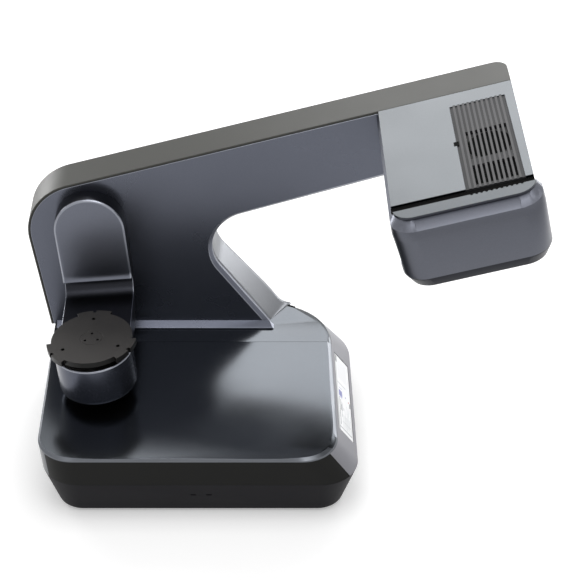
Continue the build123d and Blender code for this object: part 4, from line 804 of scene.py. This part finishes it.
@dataclass
class BracketSkin:
    """The bracket's moulded face: a half-round plate that swells a little, with a rolled rim and ledge. Its
    rim and the ledge's roll are painted lighter as highlight, its flanks and the ledge's underside darker as
    shade.

    Attributes:
        half: Half the width.
        front: Where the face lies at its top, from front to back.
        back: Where the flanks end, just before the arm.
        ledge: The ledge's level from the pivot.
        rake: How far the ledge stands before the top.
        swell: How far the middle stands out.
        flare: How far the ledge turns out.
        flare_height: The height of that turn.
        rim: The radius of the rolled rim.
        side_points: How many points the outline has along each flank.
        arc_points: How many it has round the half circle.
        roll_points: How many rows round the rim.
        face_points: How many rows from the rim to the middle.
        ledge_points: How many columns along the ledge.
        ledge_margin: How far the ledge's roll stays in from the flanks.
        ledge_depth: How far the ledge's underside runs in behind its roll.
        ledge_draft: How far it drops on that way.
        bright_rows: How many of the ledge's rows are painted lighter as a highlight; the rest are painted
            darker as shade.
    """

    half: float = 39.8
    front: float = 75.5
    back: float = 95.7
    ledge: float = -66.0
    rake: float = 3.0
    swell: float = 1.8
    flare: float = 2.2
    flare_height: float = 6.5
    rim: float = 2.2
    side_points: int = 34
    arc_points: int = 65
    roll_points: int = 9
    face_points: int = 12
    ledge_points: int = 25
    ledge_margin: float = 0.3
    ledge_depth: float = 9.0
    ledge_draft: float = 0.5
    bright_rows: int = 3

    def face(self, level: Grid) -> Grid:
        """Finds how far to the back the face lies at each level.

        The rake is straight, the swell is 1 - u squared with u from -1 to 1 down the face, and the flare
        grows with the square of the way down its last stretch.

        Args:
            level: Levels over the pivot.

        Returns:
            The face's place from front to back.
        """
        down = (self.half - level) / (self.half - self.ledge)
        bottom = np.clip((self.ledge + self.flare_height - level) / self.flare_height, 0, 1)
        proud = self.swell * (1 - (2 * down - 1) ** 2) + self.flare * bottom**2
        return self.front - self.rake * down - proud

    def tilted(self, local: Grid) -> Grid:
        """Carries points from the bracket's own axes about its pivot to the drawing.

        Args:
            local: Points as (across, from front to back, over the pivot).

        Returns:
            The points in the drawing.
        """
        sin, cos = math.sin(BRACKET_LEAN), math.cos(BRACKET_LEAN)
        turn = np.array([[cos, 0, sin], [0, 1, 0], [-sin, 0, cos]])
        return local @ turn + np.array([SWING_PIVOT[0], 0.0, SWING_PIVOT[1]])

    def outline(self) -> Grid:
        """Finds the face's outline: up the left flank, round the half circle and down the right flank.

        Returns:
            Points as (across, over the pivot).
        """
        level = np.linspace(self.ledge, 0, self.side_points)
        angle = np.linspace(math.pi, 0, self.arc_points)[1:-1]
        left = np.stack([np.full_like(level, -self.half), level], axis=1)
        arc = self.half * np.stack([np.cos(angle), np.sin(angle)], axis=1)
        right = np.stack([np.full_like(level, self.half), level[::-1]], axis=1)
        return np.concatenate([left, arc, right])

    def plate(self) -> bpy.types.Object:
        """Builds the face with its rim and flanks.

        Each column starts at a point of the outline and ends on the centre line, or at the pivot for the half
        circle. Its rows are the flank, the rim's quarter circle and the face.

        Returns:
            The sheet, with its zones as material numbers.
        """
        outline = self.outline()
        centre = np.stack([np.zeros(len(outline)), np.minimum(outline[:, 1], 0)], axis=1)
        roll = np.linspace(0, math.pi / 2, self.roll_points)
        inwards = np.linspace(self.rim, self.half - 0.01, self.face_points)[1:]
        inset = np.concatenate([[0.0], self.rim * (1 - np.cos(roll)), inwards])
        behind = np.concatenate([[0.0], self.rim * (1 - np.sin(roll)), np.zeros_like(inwards)])
        flat = outline + (centre - outline) * (inset / self.half)[:, None, None]
        depth = self.face(flat[..., 1]) + behind[:, None]
        depth[0] = self.back
        points = self.tilted(np.stack([flat[..., 0], depth, flat[..., 1]], axis=-1))
        sheet = surface("bracket_face", points[::-1])
        row = np.repeat(np.arange(len(inset) - 1)[::-1], len(outline) - 1)
        # The flank's row gets the painted shade, the rim's rows the painted highlight
        inner = np.where(row < self.roll_points, Zone.EDGE, Zone.FACE)
        sheet.data.polygons.foreach_set("material_index", np.where(row == 0, Zone.SIDE, inner))
        return sheet

    def lip(self) -> bpy.types.Object:
        """Builds the ledge's roll, a quarter circle under the face's lower edge, and its underside, with its
        first rows painted lighter as highlight and the rest darker as shade.

        Returns:
            The sheet, with its zones as material numbers.
        """
        start = self.face(np.array([self.ledge]))[0]
        reach = self.half - self.ledge_margin
        roll = np.linspace(0, math.pi / 2, self.roll_points)
        down, across = np.meshgrid(roll, np.linspace(-reach, reach, self.ledge_points))
        back, level = start + self.rim * (1 - np.cos(down)), self.ledge - self.rim * np.sin(down)
        points = np.stack([across, back, level], axis=-1)
        underside = points[:, -1:] + np.array([0.0, self.ledge_depth, -self.ledge_draft])
        sheet = surface("bracket_ledge", self.tilted(np.concatenate([points, underside], axis=1)))
        column = np.tile(np.arange(self.roll_points), self.ledge_points - 1)
        painted_light = np.where(column < self.bright_rows, Zone.EDGE, Zone.SIDE)
        sheet.data.polygons.foreach_set("material_index", painted_light)
        return sheet

    def build(self, body: Body, finishes: tuple[Finish, Finish, Finish]) -> None:
        """Builds and dresses the face and the ledge.

        Args:
            body: The body that they ride on.
            finishes: The finishes of the face, the flanks' painted shade and the rim's painted highlight.
        """
        for piece in (self.plate(), self.lip()):
            mount(piece, body, *finishes)


@dataclass(frozen=True)
class Hood(Soft):
    """The head's hood: its upper slope is the flatter one, and its bevelled foot, which looks down, is
    painted dark as shade.

    Attributes:
        brow: The level on the head where the two slopes meet.
        brow_reach: How near a point lies to that level to count as the brow.
        middle: The middle of the head, across and along.
        growth: How much wider the brow is here than in the drawing, across and along.
        down: How far a face looks down to count as the foot.
    """

    brow: float = -8.0
    brow_reach: float = 0.4
    middle: tuple[float, float] = (72.0, 10.0)
    growth: tuple[float, float] = (1.008, 1.022)
    down: float = -0.25

    def reshape(self, points: Grid, faces: Grid) -> tuple[Grid, Grid]:
        """Widens the brow about the head's middle.

        Args:
            points: The points in the drawing.
            faces: The triangles.

        Returns:
            The moved points and the same triangles.
        """
        across, along, up = ((points - HEAD_CORNER) @ HEAD_AXES.T).T
        at_brow = np.abs(up - self.brow) < self.brow_reach
        wider = np.where(at_brow, (across - self.middle[0]) * (self.growth[0] - 1), 0)
        longer = np.where(at_brow & (along < 0), (along - self.middle[1]) * (self.growth[1] - 1), 0)
        return points + np.stack([wider, longer, np.zeros_like(wider)], axis=1) @ HEAD_AXES, faces

    def aside(self, centres: Grid, normals: Grid) -> Grid:
        """Picks the faces that look down, for the painted shade."""
        return normals @ HEAD_UP < self.down


@dataclass(frozen=True)
class Grille(Soft):
    """The vent grille, whose valleys between the ribs are painted darker as shade.

    Attributes:
        valley: The level on the head below which a face belongs to a valley.
    """

    valley: float = -0.6

    def aside(self, centres: Grid, normals: Grid) -> Grid:
        """Picks the faces below the ribs' crests, for the painted shade."""
        return (centres - HEAD_CORNER) @ HEAD_UP < self.valley


@dataclass(frozen=True)
class RearHousing(Soft):
    """The arm's rear shell, with its flared foot laid flat where the throat's skin runs down instead.

    Attributes:
        flare_back: Where the flare ends at the back.
        flare_drop: How far the flare's top lies below the throat's corner.
        flare_out: How far a point stands off the strut's line to count as the flare.
        near: How near a point lies to a plane to count as in it.
    """

    flare_back: float = 130.9
    flare_drop: float = 60.0
    flare_out: float = 0.5
    near: float = 0.05

    def reshape(self, points: Grid, faces: Grid) -> tuple[Grid, Grid]:
        """Drops the flare onto the strut's line and the deck, and leaves out its front and back faces.

        Faces that the drop has turned to look down into the deck are turned up again.

        Args:
            points: The points in the drawing.
            faces: The triangles.

        Returns:
            The moved points and the triangles that are left.
        """
        x, y, z = points.T
        line = THROAT[1] - (x - THROAT[0]) * math.tan(STRUT_SLOPE)
        flare = (z > DECK_LEVEL + self.near) & (z > line + self.flare_out)
        flare &= (x > 0) & (z < THROAT[1] - self.flare_drop)
        in_front = (np.abs(y[faces] - REAR_SHELL_FRONT) < self.near).all(axis=1)
        behind = (y[faces] > self.flare_back).all(axis=1)
        dropped = np.where(flare, np.maximum(line, DECK_LEVEL), z)
        kept = faces[~((in_front | behind) & flare[faces].any(axis=1))]
        along, across = (values[kept[:, 1:]] - values[kept[:, :1]] for values in (x, y))
        facing = along[:, 0] * across[:, 1] - along[:, 1] * across[:, 0]
        turned = (np.abs(dropped[kept] - DECK_LEVEL) < self.near).all(axis=1) & (facing < 0)
        kept = np.where(turned[:, None], kept[:, ::-1], kept)
        return np.stack([x, y, dropped], axis=1), kept


@dataclass
class ThroatSkin:
    """The drafted wall inside the arm's throat: it leans out to the back and runs softly into the deck.

    Its section follows the throat's fillet and the strut, and stands off them by a lean that grows downwards.

    Attributes:
        back: The skin's back edge.
        underside: The slope of the arm's underside.
        radius: The throat's fillet.
        offset: How far the skin stands off the housing along its front edge.
        knee: The lean at the level below which it grows evenly.
        knee_level: That level.
        fade_level: The level above which there is no lean.
        fade_power: How quickly the lean fades from the one to the other.
        rate: How much further it leans for each millimetre down.
        softness: The size of the fillet at the foot.
        run: How far the skin runs out over the deck.
        over_deck: How high it lies there.
        tuck: How far its back edge draws in at the foot, where the deck's corner is rounded.
        tuck_height: The height over which it does so.
        wall: How deep its inner face lies in the housing.
        sink: How far that face lies below the outer one at the deck.
        end_sink: How deep the outer face ends in the deck.
        fillet_points: How many rows round the fillet.
        strut_points: How many down the strut.
        columns: How many columns from front to back.
    """

    back: float = 143.4
    underside: float = math.radians(17.63)
    radius: float = 46.5
    offset: float = 0.12
    knee: float = 4.9
    knee_level: float = 177.0
    fade_level: float = 215.0
    fade_power: float = 0.8
    rate: float = 0.077
    softness: float = 8.0
    run: float = 24.0
    over_deck: float = 0.06
    tuck: float = 5.5
    tuck_height: float = 26.0
    wall: float = 1.5
    sink: float = 1.0
    end_sink: float = 0.5
    fillet_points: int = 24
    strut_points: int = 61
    columns: int = 13

    def path(self) -> tuple[Grid, Grid]:
        """Finds the section's points and its normals towards the open throat.

        The fillet's points are centre + radius times (cos a, sin a), for the angle a from the underside's
        normal to the strut's; the strut's follow in even steps.

        Returns:
            Points and normals, shape (rows, 2), in the plane of x and z.
        """
        down = np.array([math.cos(STRUT_SLOPE), -math.sin(STRUT_SLOPE)])
        out = np.array([math.sin(STRUT_SLOPE), math.cos(STRUT_SLOPE)])
        start = np.array(THROAT) + down * self.radius / math.tan((STRUT_SLOPE + self.underside) / 2)
        centre = start + out * self.radius
        first, last = math.pi / 2 + self.underside, math.pi * 1.5 - STRUT_SLOPE
        angle = np.linspace(first, last, self.fillet_points, endpoint=False)
        bend = -np.stack([np.cos(angle), np.sin(angle)], axis=1)
        length = (start[1] - DECK_LEVEL) / math.sin(STRUT_SLOPE) + self.run
        steps = np.linspace(0, 1, self.strut_points)[:, None] * length
        points = np.concatenate([centre - bend * self.radius, start + steps * down])
        return points, np.concatenate([bend, np.broadcast_to(out, (self.strut_points, 2))])

    def build(self, body: Body, finish: Finish) -> None:
        """Builds the skin as a closed tube: its outer face, and an inner one sunk in the housing.

        Over the deck, a point of height h comes to (h + the root of h squared + s squared) / 2, which bends
        the wall into the deck. The softness s grows from nothing in front.

        Args:
            body: The body that it rides on.
            finish: Its finish.
        """
        points, normals = self.path()
        level = points[:, 1]
        fade = np.clip((self.fade_level - level) / (self.fade_level - self.knee_level), 0, 1)
        grown = self.knee + self.rate * (self.knee_level - level)
        lean = np.where(level > self.knee_level, self.knee * fade**self.fade_power, grown)
        share = np.linspace(0, 1, self.columns)
        off = self.offset + lean[:, None] * share
        outer = points[:, None] + normals[:, None] * off[..., None]
        onwards = points[-1] - points[-2]
        past = np.clip((DECK_LEVEL - level) / (DECK_LEVEL - level[-1]), 0, 1)[:, None]
        outer -= (past * (1 - share) * self.run)[..., None] * onwards / np.linalg.norm(onwards)
        height = outer[..., 1] - DECK_LEVEL
        root = np.sqrt(height**2 + (self.softness * share) ** 2 + 1e-6)
        draw = self.tuck * np.clip((DECK_LEVEL + self.tuck_height - level) / self.tuck_height, 0, 1) ** 2
        depth = REAR_SHELL_FRONT + share * (self.back - draw[:, None] - REAR_SHELL_FRONT)
        up = DECK_LEVEL + self.over_deck + (height + root) / 2
        up[-1] = DECK_LEVEL - self.end_sink
        outer = np.stack([outer[..., 0], depth, up], axis=-1)
        x, z = (points - normals * self.wall).T
        z = np.minimum(z, np.maximum(z, DECK_LEVEL) - self.sink)
        inner = np.stack([np.stack([x, depth[:, column], z], axis=-1) for column in (-1, 0)], axis=1)
        skin = surface("throat_skin", np.concatenate([outer, inner], axis=1), wrap=True)
        skin.modifiers.new("flat_faces", "WEIGHTED_NORMAL").weight = 60
        mount(skin, body, finish)


# Sub-assemblies

SoftPieces = tuple[tuple[Soft, Finish], ...]
PlainPieces = tuple[tuple[Finish, tuple[str, ...]], ...]


@dataclass
class Assembly:
    """A sub-assembly: its pieces by finish, those that get soft edges and those that stay as they are.

    Attributes:
        body: The body that its soft pieces ride on.
        soft: Each piece that is rounded, with its finish.
        plain: Nodes carried over, by finish.
    """

    body: Body = Body.ROOT
    soft: SoftPieces = ()
    plain: PlainPieces = ()

    def build(self) -> None:
        """Builds the soft pieces and dresses the rest."""
        for piece, finish in self.soft:
            piece.build(self.body, finish)
        for finish, nodes in self.plain:
            for node in nodes:
                dress(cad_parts[node], finish)


@dataclass
class Base(Assembly):
    """The base: tray, walls, deck and the sloped operating panel.

    Attributes:
        screen_length: The display's length from front to back.
        screen_width: Its width up the slope.
        screen_y: The middle of the display from front to back.
        screen_shift: How far it sits below the slope's middle.
        right: The base's right side at the seam.
        run: How far the slope runs in.
        seam: The level of the seam.
        rise: The height from the seam to the deck.
        recess: How far the display lies below the bezel.
        lift: How far the picture stands over the display's glass.
        edge: The black border round the picture.
        picture_points: How many points the picture has along and up the slope.
    """

    soft: SoftPieces = (
        # The deck's broken edge and its chamfered rim take lighter paints: a painted highlight
        (Soft("deck_plate", 0.9, edge=HIGHLIGHT_PAINT, side=RIM_HIGHLIGHT_PAINT, turn=0.9), DECK_PAINT),
        (Soft("front_band", 0.3), WALL),
        (Soft("base_upper_shell", 0.3), DECK_PAINT),
        (Soft("base_lower_shell", 0.5), TRAY),
        (Soft("screen_bezel", 0.4), BEZEL),
    )
    plain: PlainPieces = (
        (SCREEN_EDGE, ("touch_screen",)),
        (BLACK_PLASTIC, ("connector_panel", "power_inlet", "switch_frame", "power_rocker")),
        (RUBBER, ("rubber_feet",)),
        (STEEL, ("chassis_plate", "board_standoffs", "usb_socket")),
        (BOARD, ("control_board",)),
        (CAST, ("heat_sink", "power_supply")),
        (SCREW_STEEL, ("base_screws",)),
    )
    screen_length: float = 136.0
    screen_width: float = 29.0
    screen_y: float = -15.0
    screen_shift: float = 2.0
    right: float = 175.0
    run: float = 26.0
    seam: float = 51.0
    rise: float = 35.0
    recess: float = 0.5
    lift: float = 0.1
    edge: float = 1.0
    picture_points: tuple[int, int] = (35, 9)

    def build(self) -> None:
        """Builds the base's pieces, and the display's picture.

        The picture is a plane grid on the slope, u from front to back and v up the slope, which are also its
        UV map.
        """
        super().build()
        angle = math.atan2(self.rise, self.run)
        up = np.array([-math.cos(angle), 0.0, math.sin(angle)])
        out = np.array([math.sin(angle), 0.0, math.cos(angle)])
        middle = np.array([self.right - self.run / 2, self.screen_y, self.seam + self.rise / 2])
        middle = middle - up * self.screen_shift + out * (self.lift - self.recess)
        u, v = np.meshgrid(*(np.linspace(0, 1, count) for count in self.picture_points))
        length, width = self.screen_length - 2 * self.edge, self.screen_width - 2 * self.edge
        points = middle + ((u - 0.5) * length)[..., None] * TO_BACK + ((v - 0.5) * width)[..., None] * up
        sheet = surface("display_picture", points)
        corners = read(sheet.data.loops, "vertex_index", kind=np.int32).ravel()
        places = np.stack([u.ravel(), v.ravel()], axis=1)[corners]
        sheet.data.uv_layers.new(name="page").data.foreach_set("uv", places.ravel())
        mount(sheet, self.body, DISPLAY)


@dataclass
class Arm(Assembly):
    """The rear arm, which carries the swing drive and has the throat's drafted wall.

    Attributes:
        throat: The throat's wall.
    """

    soft: SoftPieces = (
        # The front cover's broken edges take a lighter paint: a painted highlight
        (Soft("arm_front_cover", 0.6, edge=HIGHLIGHT_PAINT), ARM_PAINT),
        (Soft("arm_toe_strip", 0.5), ARM_PAINT),
        (RearHousing("arm_rear_housing", 0.6), DECK_PAINT),
        (Soft("arm_spine_cover", 1.0), BAND),
    )
    plain: PlainPieces = (
        (CAST, ("arm_frame",)),
        (SCREW_STEEL, ("arm_screws",)),
        (STEEL, ("swing_bearing",)),
        (BLACK_METAL_AND_SHADE, ("swing_gearmotor",)),
    )
    throat: ThroatSkin = field(default_factory=ThroatSkin)

    def build(self) -> None:
        """Builds the arm's pieces and the throat's wall."""
        super().build()
        # The throat's wall takes a lighter copy of the deck's paint: painted light
        self.throat.build(self.body, THROAT_LIGHTENED_PAINT)


@dataclass
class Stage(Assembly):
    """The swinging bracket with its cup.

    Attributes:
        face: The bracket's moulded face.
    """

    body: Body = Body.STAGE
    soft: SoftPieces = (
        # The bracket's broken edges take a lighter paint as painted highlight; its flanks and the part under
        # the ledge a dark paint as painted shade
        (Bracket("swing_bracket", 1.0, edge=HIGHLIGHT_PAINT, side=SHADE_PAINT, axis=(0.0, 1.0, 0.0)), BRACKET_PAINT),
        # The cup's broken edges take a lighter paint: a painted highlight
        (Soft("turntable_motor_housing", 0.8, edge=HIGHLIGHT_PAINT), CUP),
    )
    plain: PlainPieces = (
        (BLACK_PLASTIC, ("housing_cap",)),
        (STEEL, ("swing_shaft", "spindle_bearing")),
        (BLACK_METAL_AND_SHADE, ("turntable_motor",)),
    )
    face: BracketSkin = field(default_factory=BracketSkin)

    def build(self) -> None:
        """Builds the bracket's and the cup's pieces, and the bracket's face."""
        super().build()
        # The face's rim is painted lighter as highlight, its flanks darker as shade
        self.face.build(self.body, (BRACKET_PAINT, SHADE_PAINT, HIGHLIGHT_PAINT))


@dataclass
class Table(Assembly):
    """The turning plate with its screws and spindle."""

    body: Body = Body.TABLE
    # The plate's sides take black metal: painted shade
    soft: SoftPieces = ((Soft("turntable_plate", 0.5, side=BLACK_METAL_AND_SHADE), PLATE),)
    plain: PlainPieces = ((SCREW_STEEL, ("table_screws",)), (STEEL, ("turntable_spindle",)))


@dataclass
class Head(Assembly):
    """The scan head with its optics.

    Attributes:
        linings: Black sheets of painted shade in the head's top, as (name, left, right, front, back, level).
        lining_points: How many points a lining has each way.
        latch: A black block of painted shade in the latch's opening at the grille's left edge, as (left,
            right, front, back, low, high).
        latch_edge: The width of its broken edges.
    """

    soft: SoftPieces = (
        # Faces of the hood that look down take a dark paint: painted shade
        (Hood("head_lower_housing", 0.5, side=SHADE_PAINT), HOOD_PAINT),
        (Soft("head_front_lip", 0.4, side=HOOD_PAINT, axis=tuple(HEAD_UP)), LIP_PAINT),
        # The top cover's faces that don't look up, the groove's walls among them, take a dark paint: painted
        # shade
        (Soft("head_top_cover", 0.4, side=SHADE_PAINT, axis=tuple(HEAD_UP)), TOP_PAINT),
        # The grille's valleys take a darker plastic: painted shade
        (Grille("vent_grille", 0.0, side=VALLEY_SHADE), GRILLE),
    )
    plain: PlainPieces = (
        (DARK_GLASS, ("optical_window",)),
        (CAST, ("optical_bench",)),
        (BLACK_METAL_AND_SHADE, ("camera_front", "camera_rear", "camera_front_lens", "camera_rear_lens")),
        (BLACK_METAL_AND_SHADE, ("projector_lens", "projector_body")),
        (BOARD, ("sensor_board",)),
        (FAN_PLASTIC, ("fan_frame", "fan_rotor")),
        (SCREW_STEEL, ("head_screws",)),
    )
    linings: tuple[tuple[str, float, float, float, float, float], ...] = (
        ("shade_under_the_grille", 73.0, 134.0, -92.0, 69.0, -3.6),
        ("shade_in_the_groove", -0.4, 143.2, -102.75, -92.65, -2.9),
    )
    lining_points: int = 40
    latch: tuple[float, float, float, float, float, float] = (72.8, 78.2, -10.0, -1.8, -2.5, 0.15)
    latch_edge: float = 0.4

    def build(self) -> None:
        """Builds the head's pieces, its linings of painted shade as plane grids, and the latch's painted
        shade as a small block.
        """
        super().build()
        # Black sheets of painted shade under the grille and in the groove
        for name, left, right, front, back, level in self.linings:
            ends = (np.linspace(*pair, self.lining_points) for pair in ((left, right), (front, back)))
            across, along = np.meshgrid(*ends)
            local = np.stack([across, along, np.full_like(across, level)], axis=-1)
            mount(surface(name, HEAD_CORNER + local @ HEAD_AXES), self.body, SHADE_BLACK)
        # A black block as painted shade in the latch's opening
        left, right, front, back, low, high = self.latch
        ring = ((left, front), (right, front), (right, back), (left, back))
        corners = np.array([(across, along, up) for up in (low, high) for across, along in ring])
        sides = [(i, (i + 1) % 4, (i + 1) % 4 + 4, i + 4) for i in range(4)]
        points = place(HEAD_CORNER + corners @ HEAD_AXES)
        block = bare("shade_in_the_latch_opening", points, [(3, 2, 1, 0), (4, 5, 6, 7), *sides])
        rounding = block.modifiers.new("broken_edge", "BEVEL")
        rounding.width = self.latch_edge * MM
        rounding.segments = 3
        mount(block, self.body, SHADE_BLACK)


# The studio


@dataclass
class Lamp:
    """A soft lamp.

    Attributes:
        name: Its name.
        place: Where it hangs, in metres.
        size: The width and height of its panel in metres.
        power: Its power in watts.
    """

    name: str
    place: tuple[float, float, float]
    size: tuple[float, float]
    power: float

    def build(self, target: Vector) -> None:
        """Hangs the lamp and points it.

        Args:
            target: The point that it faces.
        """
        light = bpy.data.lights.new(self.name, "AREA")
        light.shape = "RECTANGLE"
        light.size, light.size_y = self.size
        light.energy = self.power
        thing = bpy.data.objects.new(self.name, light)
        thing.location = self.place
        thing.rotation_euler = (target - Vector(self.place)).to_track_quat("-Z", "Y").to_euler()
        bpy.context.scene.collection.objects.link(thing)


@dataclass
class Studio:
    """The floor, the light and the camera.

    Attributes:
        floor_size: Half the floor's side in metres.
        floor_tones: Hex colours of the floor's paint.
        floor_cloud_mm: The size of the faint clouds between them.
        floor_lift: How far the floor is lifted to the page's white for the camera, mirrors and glass.
        sky: The world's strength for light that falls on things.
        lamps: The soft lamps.
        target: The point that they face, in metres.
        camera_place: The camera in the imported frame, in metres.
        camera_frame: The width of its frame in millimetres.
        camera_lens: Its focal length on that frame.
        camera_tilt: Its tilt up from straight down, in degrees.
        camera_shift: The frame's shift to the side that the photograph's crop has.
    """

    floor_size: float = 6.0
    floor_tones: tuple[str, str] = ("f2f2f2", "f5f5f5")
    floor_cloud_mm: float = 400.0
    floor_lift: float = 0.36
    sky: float = 0.34
    lamps: tuple[Lamp, ...] = (
        Lamp("overhead_panel", (0.0, -0.3, 1.7), (1.2, 1.4), 14.0),
        Lamp("back_panel", (0.25, 1.35, 1.15), (1.35, 0.9), 13.5),
        Lamp("right_panel", (1.05, 1.5, 0.3), (0.9, 0.5), 7.0),
        Lamp("left_panel", (-1.15, 1.2, 0.35), (0.7, 0.5), 8.0),
    )
    target: tuple[float, float, float] = (0.0, 0.0, 0.15)
    camera_place: tuple[float, float, float] = (-0.026721, -1.453978, 1.262979)
    camera_frame: float = 36.0
    camera_lens: float = 100.58
    camera_tilt: float = 54.0
    camera_shift: float = 0.0792164

    def floor(self) -> None:
        """Lays the floor, matt white, lifted to the page's white where nothing shades it."""
        corners = np.array([(-1.0, -1.0, 0.0), (1.0, -1.0, 0.0), (1.0, 1.0, 0.0), (-1.0, 1.0, 0.0)])
        ground = bare("floor", corners * self.floor_size, [(0, 1, 2, 3)])
        box = Paintbox("matt_white_floor")
        cloud = box.add("ShaderNodeTexNoise", {"Scale": per_mm(self.floor_cloud_mm)}, {"Vector": box.place})
        tones = {"data_type": "RGBA", MIX_LOW: srgb(self.floor_tones[0]), MIX_HIGH: srgb(self.floor_tones[1])}
        colour = box.add("ShaderNodeMix", tones, {"Factor": cloud}).outputs[MIXED]
        plain = box.add("ShaderNodeBsdfDiffuse", links={"Color": colour})
        seen = seen_rays(box.material.node_tree)
        lift = box.add("ShaderNodeMapRange", {"To Max": self.floor_lift}, {"Value": seen})
        glow = box.add("ShaderNodeEmission", {"Color": srgb("ffffff")}, {"Strength": lift})
        both = box.add("ShaderNodeAddShader", links={0: plain, 1: glow})
        box.add("ShaderNodeOutputMaterial", links={"Surface": both})
        ground.data.materials.append(box.material)

    def world(self) -> None:
        """Sets a plain sky that the camera, mirrors and glass see as white."""
        world = bpy.data.worlds.new("studio")
        bpy.context.scene.world = world
        world.use_nodes = True
        tree = world.node_tree
        tree.nodes.clear()
        dim, white = (
            add(tree, "ShaderNodeBackground", {"Color": srgb("ffffff"), "Strength": strength})
            for strength in (self.sky, 1.0)
        )
        mix = add(tree, "ShaderNodeMixShader", links={0: seen_rays(tree), 1: dim, 2: white})
        add(tree, "ShaderNodeOutputWorld", links={"Surface": mix})

    def camera(self) -> None:
        """Sets the camera where the photograph was taken."""
        lens = bpy.data.cameras.new("camera")
        lens.sensor_width = self.camera_frame
        lens.lens = self.camera_lens
        lens.shift_x = self.camera_shift
        thing = bpy.data.objects.new("camera", lens)
        thing.location = self.camera_place
        thing.rotation_euler = (math.radians(self.camera_tilt), 0.0, 0.0)
        bpy.context.scene.collection.objects.link(thing)
        bpy.context.scene.camera = thing

    def build(self) -> None:
        """Builds the whole studio."""
        self.floor()
        self.world()
        for lamp in self.lamps:
            lamp.build(Vector(self.target))
        self.camera()
        bpy.context.scene.view_settings.view_transform = "Standard"


def main() -> None:
    """Builds the scene in order, and reports each piece as it is dressed."""
    logging.basicConfig(level=logging.INFO, format="%(name)s %(message)s")
    for part in (Base(), Arm(), Stage(), Table(), Head(), Studio()):
        part.build()


if __name__ == "__main__":
    main()
